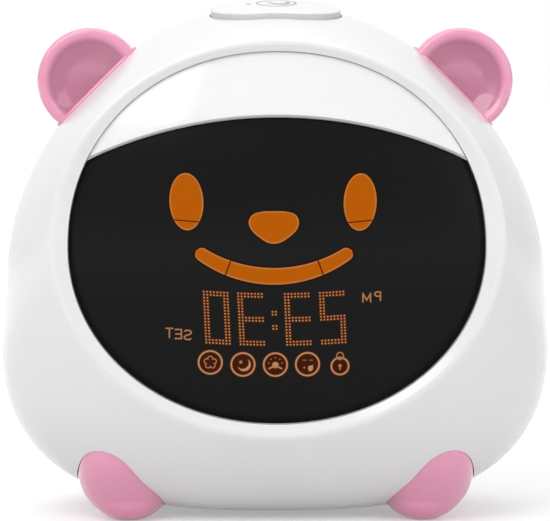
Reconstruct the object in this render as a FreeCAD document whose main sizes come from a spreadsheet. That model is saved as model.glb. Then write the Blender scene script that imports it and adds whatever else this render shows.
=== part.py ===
import FreeCAD, Part
import math
import os

import Sketcher
from FreeCAD import Matrix, Placement, Rotation, Vector

# A kids' alarm clock with a night light: a glossy two-part case shaped like an animal's head.
# Millimetres, +Z up, the face looks along -Y, the origin is on the table under the middle.

doc = FreeCAD.newDocument("NightLightClock")

# Driving dimensions

sizes = [
    # case
    ("caseHalfWidth", 65.0, "half width of the case at its parting plane"),
    ("crownHeight", 120.9, "top of the case above the table"),
    ("waistHeight", 47.3, "height at which the case is widest"),
    ("bellyHeight", 1.0, "lowest point of the case above the table"),
    ("bellyExponent", 2.85, "fullness of the lower outline, 2 is an ellipse"),
    ("frontDepth", 34.0, "parting plane to the window ring"),
    ("ringInset", 13.1, "widest outline to the side of the window ring"),
    ("ringDrop", 8.2, "crown down to the top of the window ring"),
    ("ringLift", 20.9, "belly up to the bottom of the window ring"),
    ("ringHalfWidth", "=caseHalfWidth - ringInset", "half width of the window ring"),
    ("ringTop", "=crownHeight - ringDrop", "top of the window ring"),
    ("ringBottom", "=bellyHeight + ringLift", "bottom of the window ring"),
    ("rearDepth", 36.5, "parting plane to the rear panel"),
    ("panelInset", 17.0, "widest outline to the side of the rear panel"),
    ("panelDrop", 17.9, "crown down to the top of the rear panel"),
    ("panelLift", 16.0, "belly up to the bottom of the rear panel"),
    ("panelRise", 10.7, "how much higher than the case the rear panel is widest"),
    ("rearHalfWidth", "=caseHalfWidth - panelInset", "half width of the rear panel"),
    ("rearTop", "=crownHeight - panelDrop", "top of the rear panel"),
    ("rearWaist", "=waistHeight + panelRise", "height at which the rear panel is widest"),
    ("rearBottom", "=bellyHeight + panelLift", "bottom of the rear panel"),
    ("frontRoll", 2.4, "how late the front rolls over towards the ring"),
    ("rearRoll", 2.6, "how late the rear rolls over towards its panel"),
    ("wall", 2.4, "wall of the case"),
    ("rimRound", 0.9, "rounding of the ring's lip"),
    ("rearRound", 2.6, "rounding round the rear panel"),
    ("frontFrame", 7.0, "thickness of the front frame behind the ring"),
    # window, lens and brow
    ("windowInset", 4.0, "side of the ring to the window"),
    ("windowDrop", 2.6, "top of the ring down to the window"),
    ("windowLift", 3.5, "bottom of the ring up to the window"),
    ("windowHalfWidth", "=ringHalfWidth - windowInset", "half width of the window"),
    ("windowTop", "=ringTop - windowDrop", "top of the window"),
    ("windowBottom", "=ringBottom + windowLift", "bottom of the window"),
    ("windowMiddle", "=(windowTop + windowBottom)/2", "height of the window's middle"),
    ("ringSlope", 3.0, "depth of the sloping ring"),
    ("lensEdge", 2.0, "thickness of the lens at its edge"),
    ("lensRise", 6.4, "how far the lens domes forward"),
    ("lensLedge", 1.6, "width of the ledge that carries the lens"),
    ("lensGap", 0.1, "gap round the lens"),
    ("browProud", 1.3, "how far the brow stands in front of the lens"),
    ("browRadius", 100.0, "radius of the brow's lower edge"),
    ("browDrop", 14.9, "top of the window down to the middle of the brow's lower edge"),
    ("browHeight", "=windowTop - browDrop", "height of the middle of the brow's lower edge"),
    # ears
    ("earTilt", 45.0, "lean of each ear in degrees"),
    ("earSeatDepth", 1.7, "depth of the flat seat cut for an ear"),
    ("earRadius", 12.4, "outline radius of an ear"),
    ("earCentre", 2.5, "height of an ear's centre over its seat"),
    ("earDepth", 13.0, "thickness of an ear, front to back"),
    ("earRim", 2.0, "width of the rim round an ear's dish"),
    ("earDish", 3.2, "depth of an ear's dish"),
    ("earFlange", 0.9, "thickness of the flange under an ear"),
    ("earFlangeLip", 1.0, "how far that flange stands out"),
    ("earNeckLength", 9.0, "neck of an ear, along its seat"),
    ("earNeckWidth", 6.0, "neck of an ear, front to back"),
    ("earClampLip", 2.4, "how far the clamp on a neck stands out"),
    ("earClamp", 1.4, "thickness of the clamp on a neck"),
    # feet
    ("footRadius", 12.0, "radius of a ball foot"),
    ("footInset", 30.5, "widest outline in to a foot's centre"),
    ("footHalfSpacing", "=caseHalfWidth - footInset", "foot centre to the middle of the clock"),
    ("footFront", 10.0, "front foot's centre in front of the parting plane"),
    ("footRear", 16.0, "rear foot's centre behind the parting plane"),
    ("footSole", 0.35, "flat cut on the bottom of a foot"),
    ("footCore", 1.4, "table up to the solid core round a foot's screw"),
    ("footPegRadius", 3.4, "radius of a foot's peg"),
    ("footBossRadius", 5.4, "radius of the boss that takes a peg"),
    ("footBossTop", 16.0, "top of that boss"),
    ("footBossRoof", 1.8, "thickness of that boss over the peg"),
    # snooze button
    ("snoozeLength", 30.2, "bar button across the crown"),
    ("snoozeWidth", 39.4, "bar button, front to back"),
    ("snoozeCentre", 3.4, "button's middle in front of the parting plane"),
    ("snoozeRound", 4.5, "corner radius of the bar button"),
    ("snoozeProud", 1.35, "how far the button stands up at rest"),
    ("snoozeTravel", 1.2, "how far the button goes down"),
    ("snoozeLip", 1.6, "retaining lip under the crown"),
    ("snoozeLipThickness", 1.2, "thickness of the button's skin and lip"),
    ("snoozeBoardDrop", 14.5, "crown down to the top of the snooze board"),
    ("snoozeBoardTop", "=crownHeight - snoozeBoardDrop", "top of the snooze board"),
    ("snoozeBossReach", 5.0, "retaining lip out to the snooze board's screws"),
    ("snoozeBossSet", 8.0, "snooze board's screws in front of the button's middle"),
    ("snoozeBoardEdge", 3.5, "snooze board round its screws"),
    # running gaps and screws
    ("runGap", 0.3, "gap round everything that moves"),
    ("seatGap", 0.1, "gap round pieces that stay put"),
    ("postRadius", 1.5, "radius of a button's post"),
    ("postGap", 0.1, "gap round a post in its switch"),
    ("postReach", 0.9, "how far a post reaches into its switch"),
    ("screwRadius", 1.2, "radius of a small screw"),
    ("screwHead", 2.4, "head radius of a small screw"),
    ("screwHeadHeight", 1.4, "head height of a small screw"),
    ("screwGap", 0.05, "gap round a screw in its hole"),
    ("screwLength", 6.0, "length of a small screw under its head"),
    ("shortScrew", 4.2, "length of a short screw under its head"),
    ("screwSink", 1.2, "depth of the recess for a small screw's head"),
    ("holeSpare", 1.0, "how much deeper a screw hole is than its screw"),
    ("rootBite", 0.5, "how far a boss is sunk into the wall that carries it"),
    ("bossWall", 1.3, "wall of a small screw boss"),
    ("caseScrewRadius", 1.4, "radius of a case screw"),
    ("caseScrewHead", 2.7, "head radius of a case screw"),
    ("caseHeadHeight", 1.8, "head height of a case screw"),
    ("caseScrewLength", 21.0, "case screw under its head"),
    ("caseScrewInset", 19.5, "widest outline in to the case screws"),
    ("caseScrewDrop", 32.9, "crown down to the upper case screws"),
    ("caseScrewLift", 41.0, "belly up to the lower case screws"),
    ("caseScrewX", "=caseHalfWidth - caseScrewInset", "case screws, from the middle"),
    ("caseScrewUpper", "=crownHeight - caseScrewDrop", "height of the upper case screws"),
    ("caseScrewLower", "=bellyHeight + caseScrewLift", "height of the lower case screws"),
    ("caseBossRadius", 4.2, "radius of a case boss"),
    ("caseBossFloor", 12.0, "parting plane to where a case screw's head sits"),
    ("wellGap", 0.4, "gap round a case screw's head"),
    # rear controls
    ("buttonLength", 10.0, "length of a setting button"),
    ("buttonHeight", 6.0, "height of a setting button"),
    ("buttonProud", 1.5, "how far a setting button stands out"),
    ("buttonTravel", 0.8, "how far a setting button goes in"),
    ("buttonLip", 1.2, "lip of a setting button, wide and thick"),
    ("buttonX", 26.0, "setting buttons, from the middle"),
    ("buttonDrop", 11.0, "top of the rear panel down to the upper setting buttons"),
    ("buttonTop", "=rearTop - buttonDrop", "height of the upper setting buttons"),
    ("buttonPitch", 10.0, "spacing of the setting buttons"),
    ("switchSize", 6.0, "side of a push switch"),
    ("switchHeight", 3.5, "height of a push switch"),
    ("switchBore", 2.6, "depth of the hole that takes a post"),
    ("lockTravel", 4.0, "travel of the lock switch"),
    ("lockKnob", 3.6, "side of the lock switch's knob"),
    ("gripDepth", 0.4, "depth and width of the knob's grip lines"),
    ("lockSwitchLength", 9.0, "length of the lock switch's body"),
    ("usbInset", 8.0, "side of the rear panel in to the power inlet"),
    ("usbX", "=rearHalfWidth - usbInset", "power inlet, from the middle"),
    ("usbHeight", 62.0, "height of the power inlet"),
    ("usbWide", 7.8, "width of the power socket"),
    ("usbThick", 2.9, "thickness of the power socket"),
    ("usbWall", 0.4, "wall of the power socket"),
    ("usbBore", 5.0, "depth of the power socket"),
    ("usbGap", 0.5, "gap round the power socket in the panel"),
    # battery bay
    ("cellRadius", 5.25, "radius of an AAA cell"),
    ("cellLength", 44.5, "length of an AAA cell"),
    ("cellPitch", 10.8, "spacing of the cells"),
    ("cellEndRoom", 2.9, "room for the contacts at each end of a cell"),
    ("bayHeight", 46.0, "height of the battery bay's middle"),
    ("bayWall", 1.2, "wall of the battery tray"),
    ("cellRib", 0.6, "thickness of the ribs between the cells"),
    ("contactThickness", 0.4, "thickness of a contact's leaf"),
    ("doorHalfLength", 33.5, "half length of the battery door"),
    ("doorHalfHeight", 18.0, "half height of the battery door"),
    ("doorThickness", 2.0, "thickness of the battery door"),
    ("doorRound", 2.5, "corner radius of the battery door"),
    ("doorLift", 12.0, "how far the loose door is lifted off"),
    ("doorScrewX", 29.9, "battery door screws, from the middle"),
    ("doorFrame", 1.5, "thickening of the panel round the door, wide and thick"),
    ("thumbRadius", 9.0, "radius of the thumb scoop at the top of the door"),
    ("thumbRise", 0.9, "top of the door up to the scoop's middle"),
    ("thumbDepth", 0.6, "depth of the thumb scoop"),
    # speaker
    ("speakerDrop", 19.5, "top of the rear panel down to the speaker's middle"),
    ("speakerHeight", "=rearTop - speakerDrop", "height of the speaker's middle"),
    ("speakerRadius", 14.0, "radius of the speaker"),
    ("speakerDepth", 4.5, "depth of the speaker's basket"),
    ("magnetRadius", 7.0, "radius of the speaker's magnet"),
    ("magnetDepth", 3.6, "height of the speaker's magnet"),
    ("grilleHole", 1.0, "radius of a grille hole"),
    ("grillePitch", 3.6, "spacing of the grille's rings"),
    ("speakerScrewRing", 17.4, "speaker screws, from its middle"),
    ("speakerScrewAngle", 63.0, "direction of the speaker screws in degrees"),
    ("clampThickness", 1.2, "thickness of the speaker's clamp"),
    ("clampInner", 9.4, "inner radius of the speaker's clamp"),
    # boards
    ("boardThickness", 1.6, "thickness of a circuit board"),
    ("mainBoardSet", 14.5, "rear panel forward to the back of the main board"),
    ("mainBoardInset", 19.0, "widest outline in to the side of the main board"),
    ("mainBossInset", 4.5, "side of the main board in to its screws"),
    ("mainBossDrop", 12.0, "upper setting buttons down to the upper main board screws"),
    ("mainBossLow", 8.0, "power inlet down to the lower main board screws"),
    ("mainBoardEdge", 4.0, "lower main board screws down to the board's edge"),
    ("mainBoardRise", 6.0, "upper setting buttons up to the board's edge"),
    ("mainBoardBack", "=rearDepth - mainBoardSet", "parting plane to the back of the main board"),
    ("mainBoardHalfWidth", "=caseHalfWidth - mainBoardInset", "half width of the main board"),
    ("mainBossX", "=mainBoardHalfWidth - mainBossInset", "main board screws, from the middle"),
    ("mainBossUpper", "=buttonTop - mainBossDrop", "height of the upper main board screws"),
    ("mainBossLower", "=usbHeight - mainBossLow", "height of the lower main board screws"),
    ("mainBoardBottom", "=mainBossLower - mainBoardEdge", "bottom of the main board"),
    ("mainBoardTop", "=buttonTop + mainBoardRise", "top of the main board"),
    ("displayDepth", 8.0, "thickness of the display's light shield"),
    ("displayBossReach", 1.1, "side of the window out to the display board screws"),
    ("displayBossAbove", 8.25, "window's middle up to the upper display board screws"),
    ("displayBossBelow", 9.75, "window's middle down to the lower display board screws"),
    ("displayBoardEdge", 2.6, "display board beyond its screws"),
    ("displayBoardInset", 10.9, "side of the window in to the display board between its wings"),
    ("displayBoardLift", 8.6, "bottom of the window up to the display board"),
    ("displayBossX", "=windowHalfWidth + displayBossReach", "display board screws, from the middle"),
    ("displayBossUpper", "=windowMiddle + displayBossAbove", "height of the upper display board screws"),
    ("displayBossLower", "=windowMiddle - displayBossBelow", "height of the lower display board screws"),
    ("displayBoardBottom", "=windowBottom + displayBoardLift", "bottom of the display board"),
    ("displayBoardTop", "=browHeight - displayBoardEdge", "top of the display board"),
    ("displayBoardHalfWidth", "=windowHalfWidth - displayBoardInset", "half width between its wings"),
    ("lightBossX", 19.0, "night-light board screws, from the middle"),
    ("lightBossDrop", 1.8, "top of the window down to those screws"),
    ("lightBossHeight", "=windowTop - lightBossDrop", "height of those screws"),
    ("lightBoardSide", 3.4, "night-light board beyond its screws, at the sides"),
    ("lightBoardAbove", 1.7, "night-light board above its screws"),
    ("lightBoardLow", 2.0, "brow's lower edge up to the night-light board"),
    ("lightDepth", 4.4, "frame to the night-light board"),
    ("shieldGap", 0.4, "gap between the display's shield and the light tray"),
    # display windows
    ("eyeX", 19.7, "eye window, from the middle"),
    ("eyeRise", 8.75, "window's middle up to the eye windows"),
    ("eyeHeight", "=windowMiddle + eyeRise", "height of the eye windows"),
    ("eyeHalfWidth", 3.9, "half width of an eye window"),
    ("eyeHalfHeight", 6.5, "half height of an eye window"),
    ("noseRise", 3.15, "window's middle up to the nose window"),
    ("noseHeight", "=windowMiddle + noseRise", "height of the nose window"),
    ("noseHalfWidth", 5.7, "half width of the nose window"),
    ("noseHalfHeight", 3.7, "half height of the nose window"),
    ("mouthRadius", 29.9, "radius of the smile"),
    ("mouthDrop", 8.35, "window's middle down to the smile's middle line"),
    ("mouthBottom", "=windowMiddle - mouthDrop", "lowest point of the smile's middle line"),
    ("mouthBand", 3.6, "width of the smile"),
    ("mouthAngle", 68.0, "angle of the whole smile in degrees"),
    ("mouthRib", 1.0, "rib between two parts of the smile"),
    ("digitHeight", 12.3, "height of a digit"),
    ("digitWidth", 6.6, "width of a digit"),
    ("digitStroke", 1.3, "stroke of a digit"),
    ("digitPitch", 7.9, "spacing of two digits in a pair"),
    ("pairPitch", 18.4, "spacing of the two pairs"),
    ("digitDrop", 17.85, "window's middle down to the digits' middle"),
    ("digitMiddle", "=windowMiddle - digitDrop", "height of the digits' middle"),
    ("segmentRib", 0.5, "rib between two segments"),
    ("iconRadius", 2.6, "radius of an icon window"),
    ("iconPitch", 7.35, "spacing of the icons"),
    ("iconDrop", 28.45, "window's middle down to the icons"),
    ("iconHeight", "=windowMiddle - iconDrop", "height of the icons"),
    # night light and ribbon
    ("trayWall", 1.2, "wall of the night light's tray"),
    ("lampPitch", 7.8, "spacing of the night light's lamps"),
    ("lampRadius", 1.5, "radius of a night light's lamp"),
    ("lampStem", 2.6, "straight part of such a lamp"),
    ("lampGap", 0.15, "gap round such a lamp in its tray"),
    ("ledLength", 1.2, "length of a display lamp"),
    ("ledHeight", 0.9, "height of a display lamp"),
    ("ledThickness", 0.7, "thickness of a display lamp"),
    ("ribbonWidth", 11.0, "width of the ribbon cable"),
    ("ribbonThickness", 0.4, "thickness of the ribbon cable"),
    ("ribbonRise", 12.0, "bottom of the main board up to the ribbon"),
    ("plugWidth", 14.0, "width of a ribbon connector"),
    ("plugHeight", 3.2, "height of a ribbon connector"),
    ("plugDepth", 3.0, "depth of a ribbon connector"),
]

sheet = doc.addObject("Spreadsheet::Sheet", "Size")
for row, (alias, amount, meaning) in enumerate(sizes, start=1):
    sheet.set(f"A{row}", meaning)
    sheet.set(f"B{row}", str(amount))
    sheet.setAlias(f"B{row}", alias)
doc.recompute()

pieces = []


def value(formula):
    """The number that a formula on the sheet's sizes gives."""
    return float(sheet.evalExpression(str(formula)))


def bind(part, formulas):
    for path, formula in formulas.items():
        part.setExpression(path, str(formula))
    return part


def place(part, x="0", y="0", z="0"):
    return bind(part, {"Placement.Base.x": x, "Placement.Base.y": y, "Placement.Base.z": z})


def piece(part, label):
    """Hands a finished sub-part in under its own name."""
    part.Label = label
    pieces.append(part)
    return part


# Primitives and booleans bound to the sheet

turns = {
    "+Z": Rotation(),
    "+Y": Rotation(Vector(1, 0, 0), -90),
    "+X": Rotation(Vector(0, 1, 0), 90),
}


def block(name, x, y, z, lengthX, lengthY, lengthZ):
    """A box given by its low corner and its three sides."""
    part = doc.addObject("Part::Box", name)
    bind(part, {"Length": lengthX, "Width": lengthY, "Height": lengthZ})
    return place(part, x, y, z)


def centredBlock(name, x, y, z, lengthX, lengthY, lengthZ):
    """A box centred on x and z that starts at y."""
    return block(name, f"{x} - ({lengthX})/2", y, f"{z} - ({lengthZ})/2", lengthX, lengthY, lengthZ)


def rod(name, radius, length, x, y, z, along="+Y"):
    part = doc.addObject("Part::Cylinder", name)
    part.Placement = Placement(Vector(), turns[along])
    bind(part, {"Radius": radius, "Height": length})
    return place(part, x, y, z)


def together(name, parts):
    """Separate solids kept side by side in one object."""
    part = doc.addObject("Part::Compound", name)
    part.Links = parts
    return part


def fuse(name, parts):
    part = doc.addObject("Part::MultiFuse", name)
    part.Shapes = parts
    return part


def cut(name, base, tool):
    part = doc.addObject("Part::Cut", name)
    part.Base = base
    part.Tool = tool
    return part


def common(name, first, second):
    part = doc.addObject("Part::Common", name)
    part.Base = first
    part.Tool = second
    return part


def computed(name, shape):
    part = doc.addObject("Part::Feature", name)
    part.Shape = shape
    return part


def copies(name, base, spots):
    """Linked copies of one object, at the x, y, z formulas in spots."""
    links = []
    for number, (x, y, z) in enumerate(spots):
        link = doc.addObject("App::Link", f"{name}Copy{number}")
        link.LinkedObject = base
        links.append(place(link, x, y, z))
    return together(name, links)


def pill(name, x, y, z, length, height, depth):
    """A bar with round ends, its long side along X, that starts at y."""
    straight = f"({length}) - ({height})"
    middle = centredBlock(name + "Middle", x, y, z, straight, depth, height)
    ends = [rod(name + side, f"({height})/2", depth, f"{x} {sign} ({straight})/2", y, z)
            for side, sign in (("Left", "-"), ("Right", "+"))]
    return fuse(name, [middle] + ends)


def softBlock(name, x, y, z, lengthX, lengthY, lengthZ, radius, along):
    """A box whose four edges along one axis are rounded."""
    base = block(name + "Block", x, y, z, lengthX, lengthY, lengthZ)
    doc.recompute([base])
    part = doc.addObject("Part::Fillet", name)
    part.Base = base
    across = {"Y": ("XLength", "ZLength"), "Z": ("XLength", "YLength")}[along]
    part.Edges = [
        (number, value(radius), value(radius))
        for number, edge in enumerate(base.Shape.Edges, start=1)
        if all(getattr(edge.BoundBox, side) < 1e-6 for side in across)
    ]
    return part


# PartDesign bodies

def newBody(name):
    return doc.addObject("PartDesign::Body", name)


def sketchOn(body, plane, name, offset="0"):
    sketch = body.newObject("Sketcher::SketchObject", name)
    feature = [item for item in body.Origin.OriginFeatures if item.Role == plane][0]
    sketch.AttachmentSupport = [(feature, "")]
    sketch.MapMode = "FlatFace"
    sketch.setExpression("AttachmentOffset.Base.z", str(offset))
    return sketch


def outline(sketch, corners):
    """A closed run of straight lines whose corners are tied to the sheet."""
    first = sketch.GeometryCount
    spots = [Vector(value(x), value(y), 0) for x, y in corners]
    for number, spot in enumerate(spots):
        sketch.addGeometry(Part.LineSegment(spot, spots[(number + 1) % len(spots)]), False)
    for number in range(len(spots)):
        following = first + (number + 1) % len(spots)
        sketch.addConstraint(Sketcher.Constraint("Coincident", first + number, 2, following, 1))
    for number, corner in enumerate(corners):
        for kind, formula in zip(("DistanceX", "DistanceY"), corner):
            tie = Sketcher.Constraint(kind, -1, 1, first + number, 1, value(formula))
            sketch.setExpression(f"Constraints[{sketch.addConstraint(tie)}]", str(formula))


def circle(sketch, x, y, radius):
    disc = Part.Circle(Vector(value(x), value(y), 0), Vector(0, 0, 1), value(radius))
    number = sketch.addGeometry(disc, False)
    for kind, formula in (("DistanceX", x), ("DistanceY", y)):
        tie = Sketcher.Constraint(kind, -1, 1, number, 3, value(formula))
        sketch.setExpression(f"Constraints[{sketch.addConstraint(tie)}]", str(formula))
    tie = Sketcher.Constraint("Radius", number, value(radius))
    sketch.setExpression(f"Constraints[{sketch.addConstraint(tie)}]", str(radius))


def pad(body, sketch, name, length):
    feature = body.newObject("PartDesign::Pad", name)
    feature.Profile = sketch
    feature.setExpression("Length", str(length))
    return feature


def pocket(body, sketch, name, length, backwards=False):
    feature = body.newObject("PartDesign::Pocket", name)
    feature.Profile = sketch
    feature.Reversed = backwards
    feature.setExpression("Length", str(length))
    return feature


def revolve(body, sketch, name):
    feature = body.newObject("PartDesign::Revolution", name)
    feature.Profile = sketch
    feature.ReferenceAxis = (sketch, ["V_Axis"])
    feature.Angle = 360
    return feature


def plate(name, back, corners, holes, holeRadius):
    """A flat board in the XZ plane, its rear face at y = back, with round holes through it."""
    body = newBody(name)
    face = sketchOn(body, "XZ_Plane", name + "Outline", f"-({back})")
    outline(face, corners)
    pad(body, face, name + "Pad", "Size.boardThickness")
    if holes:
        drill = sketchOn(body, "XZ_Plane", name + "Holes", f"-({back})")
        for x, z in holes:
            circle(drill, x, z, holeRadius)
        pocket(body, drill, name + "Drill", "Size.boardThickness", backwards=True)
    return body


headRim = "0.55"
headFlat = "0.6"


def screw(name, radius, head, headHeight, length, plane="XY_Plane"):
    """A pan-head screw at the origin: the shank points to minus, the head's flat is at zero."""
    body = newBody(name)
    half = sketchOn(body, plane, name + "Profile")
    outline(half, [
        ("0", f"-({length})"), (radius, f"-({length}) + ({radius})"), (radius, "0"), (head, "0"),
        (head, f"({headHeight})*{headRim}"), (f"({head})*{headFlat}", headHeight), ("0", headHeight),
    ])
    revolve(body, half, name + "Turn")
    return body


# The case: closed curves blended from the full outline to the ring and to the rear panel

fullOutline = ["caseHalfWidth", "crownHeight", "waistHeight", "bellyHeight"]
ringOutline = ["ringHalfWidth", "ringTop", None, "ringBottom"]
rearOutline = ["rearHalfWidth", "rearTop", "rearWaist", "rearBottom"]
rearTopExponent = 2.3
rearBottomExponent = 2.7
quarterSteps = 7


def number(alias):
    return float(sheet.get(alias))


ringMiddle = (number("ringTop") + number("ringBottom")) / 2


def caseSection(y, grow):
    """Half width, top, waist, bottom and the two exponents of the outline at depth y."""
    start = [number(alias) for alias in fullOutline] + [2.0, number("bellyExponent")]
    if y < 0:
        end = [number("ringHalfWidth"), number("ringTop"), ringMiddle, number("ringBottom"), 2.0, 2.0]
        blend = (-y / number("frontDepth")) ** number("frontRoll")
    else:
        end = [number(alias) for alias in rearOutline] + [rearTopExponent, rearBottomExponent]
        blend = (y / number("rearDepth")) ** number("rearRoll")
    mixed = [first + (last - first) * blend for first, last in zip(start, end)]
    return [mixed[0] + grow, mixed[1] + grow, mixed[2], mixed[3] - grow, mixed[4], mixed[5]]


def caseCurve(y, grow):
    """The closed curve |x/a|^n + |z/b|^n = 1, with its own b and n above and below the waist."""
    halfWidth, top, waist, bottom, topExponent, bottomExponent = caseSection(y, grow)
    headings = [Vector(1, 0, 0), Vector(0, 0, 1), Vector(-1, 0, 0), Vector(0, 0, -1)]
    quarters = []
    for quarter, upper in enumerate((False, True, True, False)):
        exponent = topExponent if upper else bottomExponent
        height = (top - waist) if upper else (waist - bottom)
        spots = []
        for step in range(quarterSteps + 1):
            turn = math.radians(90 * (quarter - 1 + step / quarterSteps))
            across, up = round(math.cos(turn), 9), round(math.sin(turn), 9)
            x = halfWidth * math.copysign(abs(across) ** (2 / exponent), across)
            z = waist + height * math.copysign(abs(up) ** (2 / exponent), up)
            spots.append(Vector(x, y, z))
        curve = Part.BSplineCurve()
        following = headings[(quarter + 1) % 4]
        curve.interpolate(Points=spots, InitialTangent=headings[quarter], FinalTangent=following)
        quarters.append(curve.toShape())
    return Part.Wire(quarters)


def caseForm(grow, front, rear):
    """The head shape from y = front to y = rear, swollen by grow."""
    depths = [front, front * 0.86, front * 0.64, front * 0.36, 0, rear * 0.4, rear * 0.7, rear * 0.89, rear]
    return Part.makeLoft([caseCurve(y, grow) for y in depths], True, False)


def roundRims(shape, y, radius):
    rims = [edge for edge in shape.Edges
            if abs(edge.BoundBox.YMin - y) < 1e-3 and abs(edge.BoundBox.YMax - y) < 1e-3]
    return shape.makeFillet(radius, rims)


front = -number("frontDepth")
rear = number("rearDepth")
wall = number("wall")
frameBack = front + number("frontFrame")
panelInner = rear - wall
outerShape = roundRims(caseForm(0, front, rear), front, number("rimRound"))
outerShape = roundRims(outerShape, rear, number("rearRound"))
outerForm = computed("OuterForm", outerShape)
innerForm = computed("InnerForm", caseForm(-wall, frameBack, panelInner))

# Ovals of the window and the domed plates behind it

windowMiddle = number("windowMiddle")
windowHalfHeight = (number("windowTop") - number("windowBottom")) / 2
windowHalfWidth = number("windowHalfWidth")
windowPlane = front + number("ringSlope")
ledgePlane = windowPlane + number("lensEdge")
ledge = number("lensLedge")


def oval(y, halfWidth, halfHeight, middle):
    centre = Vector(0, y, middle)
    side = centre + Vector(halfWidth, 0, 0)
    top = centre + Vector(0, 0, halfHeight)
    ends = (side, top) if halfWidth >= halfHeight else (top, side)
    return Part.Wire([Part.Ellipse(ends[0], ends[1], centre).toShape()])


def ovalSolid(near, far, nearOval, farOval=None):
    """A straight or tapered plug between two ovals, each (half width, half height, middle)."""
    return Part.makeLoft([oval(near, *nearOval), oval(far, *(farOval or nearOval))], True, True)


def shrunk(amount):
    """The window's oval, made smaller by amount."""
    return (windowHalfWidth - amount, windowHalfHeight - amount, windowMiddle)


def dome(plane, shape, rise):
    """A cap over an oval at y = plane that rises towards the viewer."""
    halfWidth, halfHeight, middle = shape
    radius = (halfHeight ** 2 + rise ** 2) / (2 * rise)
    ball = Part.makeSphere(radius, Vector(0, radius - rise, 0))
    reach = 2 * halfHeight
    cap = ball.common(Part.makeBox(2 * reach, 2 * rise, 2 * reach, Vector(-reach, -2 * rise, -reach)))
    stretch = Matrix()
    stretch.scale(halfWidth / halfHeight, 1, 1)
    cap = cap.transformGeometry(stretch)
    cap.translate(Vector(0, plane, middle))
    return cap


def domedPlate(frontPlane, backPlane, rise):
    """A domed oval plate with a flat rim on its back."""
    outerOval = shrunk(number("lensGap"))
    innerOval = shrunk(number("lensGap") + number("lensEdge"))
    body = ovalSolid(frontPlane, backPlane, outerOval).fuse(dome(frontPlane, outerOval, rise))
    return body.cut(dome(backPlane, innerOval, number("lensRise")))


ringCrest = (number("ringHalfWidth") - number("rimRound"),
             (number("ringTop") - number("ringBottom")) / 2 - number("rimRound"), ringMiddle)
lead = 0.5
growth = [(crest - hole) / number("ringSlope") * lead for crest, hole in zip(ringCrest, shrunk(0))]
leadOval = tuple(crest + more for crest, more in zip(ringCrest, growth))
windowShape = ovalSolid(front - lead, windowPlane, leadOval, shrunk(0))
windowShape = windowShape.fuse(ovalSolid(windowPlane - lead, ledgePlane, shrunk(0)))
windowShape = windowShape.fuse(ovalSolid(ledgePlane - lead, frameBack + lead, shrunk(ledge)))
windowCutter = computed("WindowCutter", windowShape)


def arcPlug(name, radius):
    """Everything below the brow's lower edge, as a long round plug."""
    middle = "Size.browHeight - Size.browRadius"
    return rod(name, radius, "2*Size.frontDepth", "0", "-1.5*Size.frontDepth", middle)


lensRise = number("lensRise")
browPlate = computed("BrowPlate", domedPlate(windowPlane - number("browProud"), ledgePlane, lensRise))
lensPlate = computed("LensPlate", domedPlate(windowPlane, ledgePlane, lensRise))
piece(cut("BrowCut", browPlate, arcPlug("BrowEdge", "Size.browRadius")), "brow_diffuser")
piece(common("LensCut", lensPlate, arcPlug("LensEdge", "Size.browRadius - Size.lensGap")), "display_lens")

# Ears: each is built on a flat seat, z = 0, with its neck below, then leaned over

crownHalf = "(Size.crownHeight - Size.waistHeight)"
seatReach = f"sqrt((Size.caseHalfWidth*sin(Size.earTilt))^2 + ({crownHalf}*cos(Size.earTilt))^2)"
earX = f"(Size.caseHalfWidth^2/{seatReach} - Size.earSeatDepth)*sin(Size.earTilt)"
earZ = f"Size.waistHeight + ({crownHalf}^2/{seatReach} - Size.earSeatDepth)*cos(Size.earTilt)"
seatSpan = "4*Size.earRadius"


def lean(part, side, x=earX, z=earZ):
    """Turns a piece about Y onto the ear seat of one side, -1 or 1."""
    part.Placement = Placement(Vector(), Rotation(Vector(0, 1, 0), 1))
    part.setExpression("Placement.Rotation.Angle", f"{side}*Size.earTilt*1deg")
    return place(part, f"{side}*({x})", "0", z)


def seated(name, low, side):
    """A large block over the ear seat of one side, or over its inner face."""
    base = block(name + "Block", f"-({seatSpan})/2", f"-({seatSpan})/2", low, seatSpan, seatSpan, seatSpan)
    return lean(together(name, [base]), side)


def slot(name, gap, side):
    """The opening for an ear's neck through the wall."""
    length = f"Size.earNeckLength + 2*{gap}"
    width = f"Size.earNeckWidth + 2*{gap}"
    depth = "3*Size.wall"
    base = block(name + "Block", f"-({length})/2", f"-({width})/2", "-2*Size.wall", length, width, depth)
    return lean(together(name, [base]), side)


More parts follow.
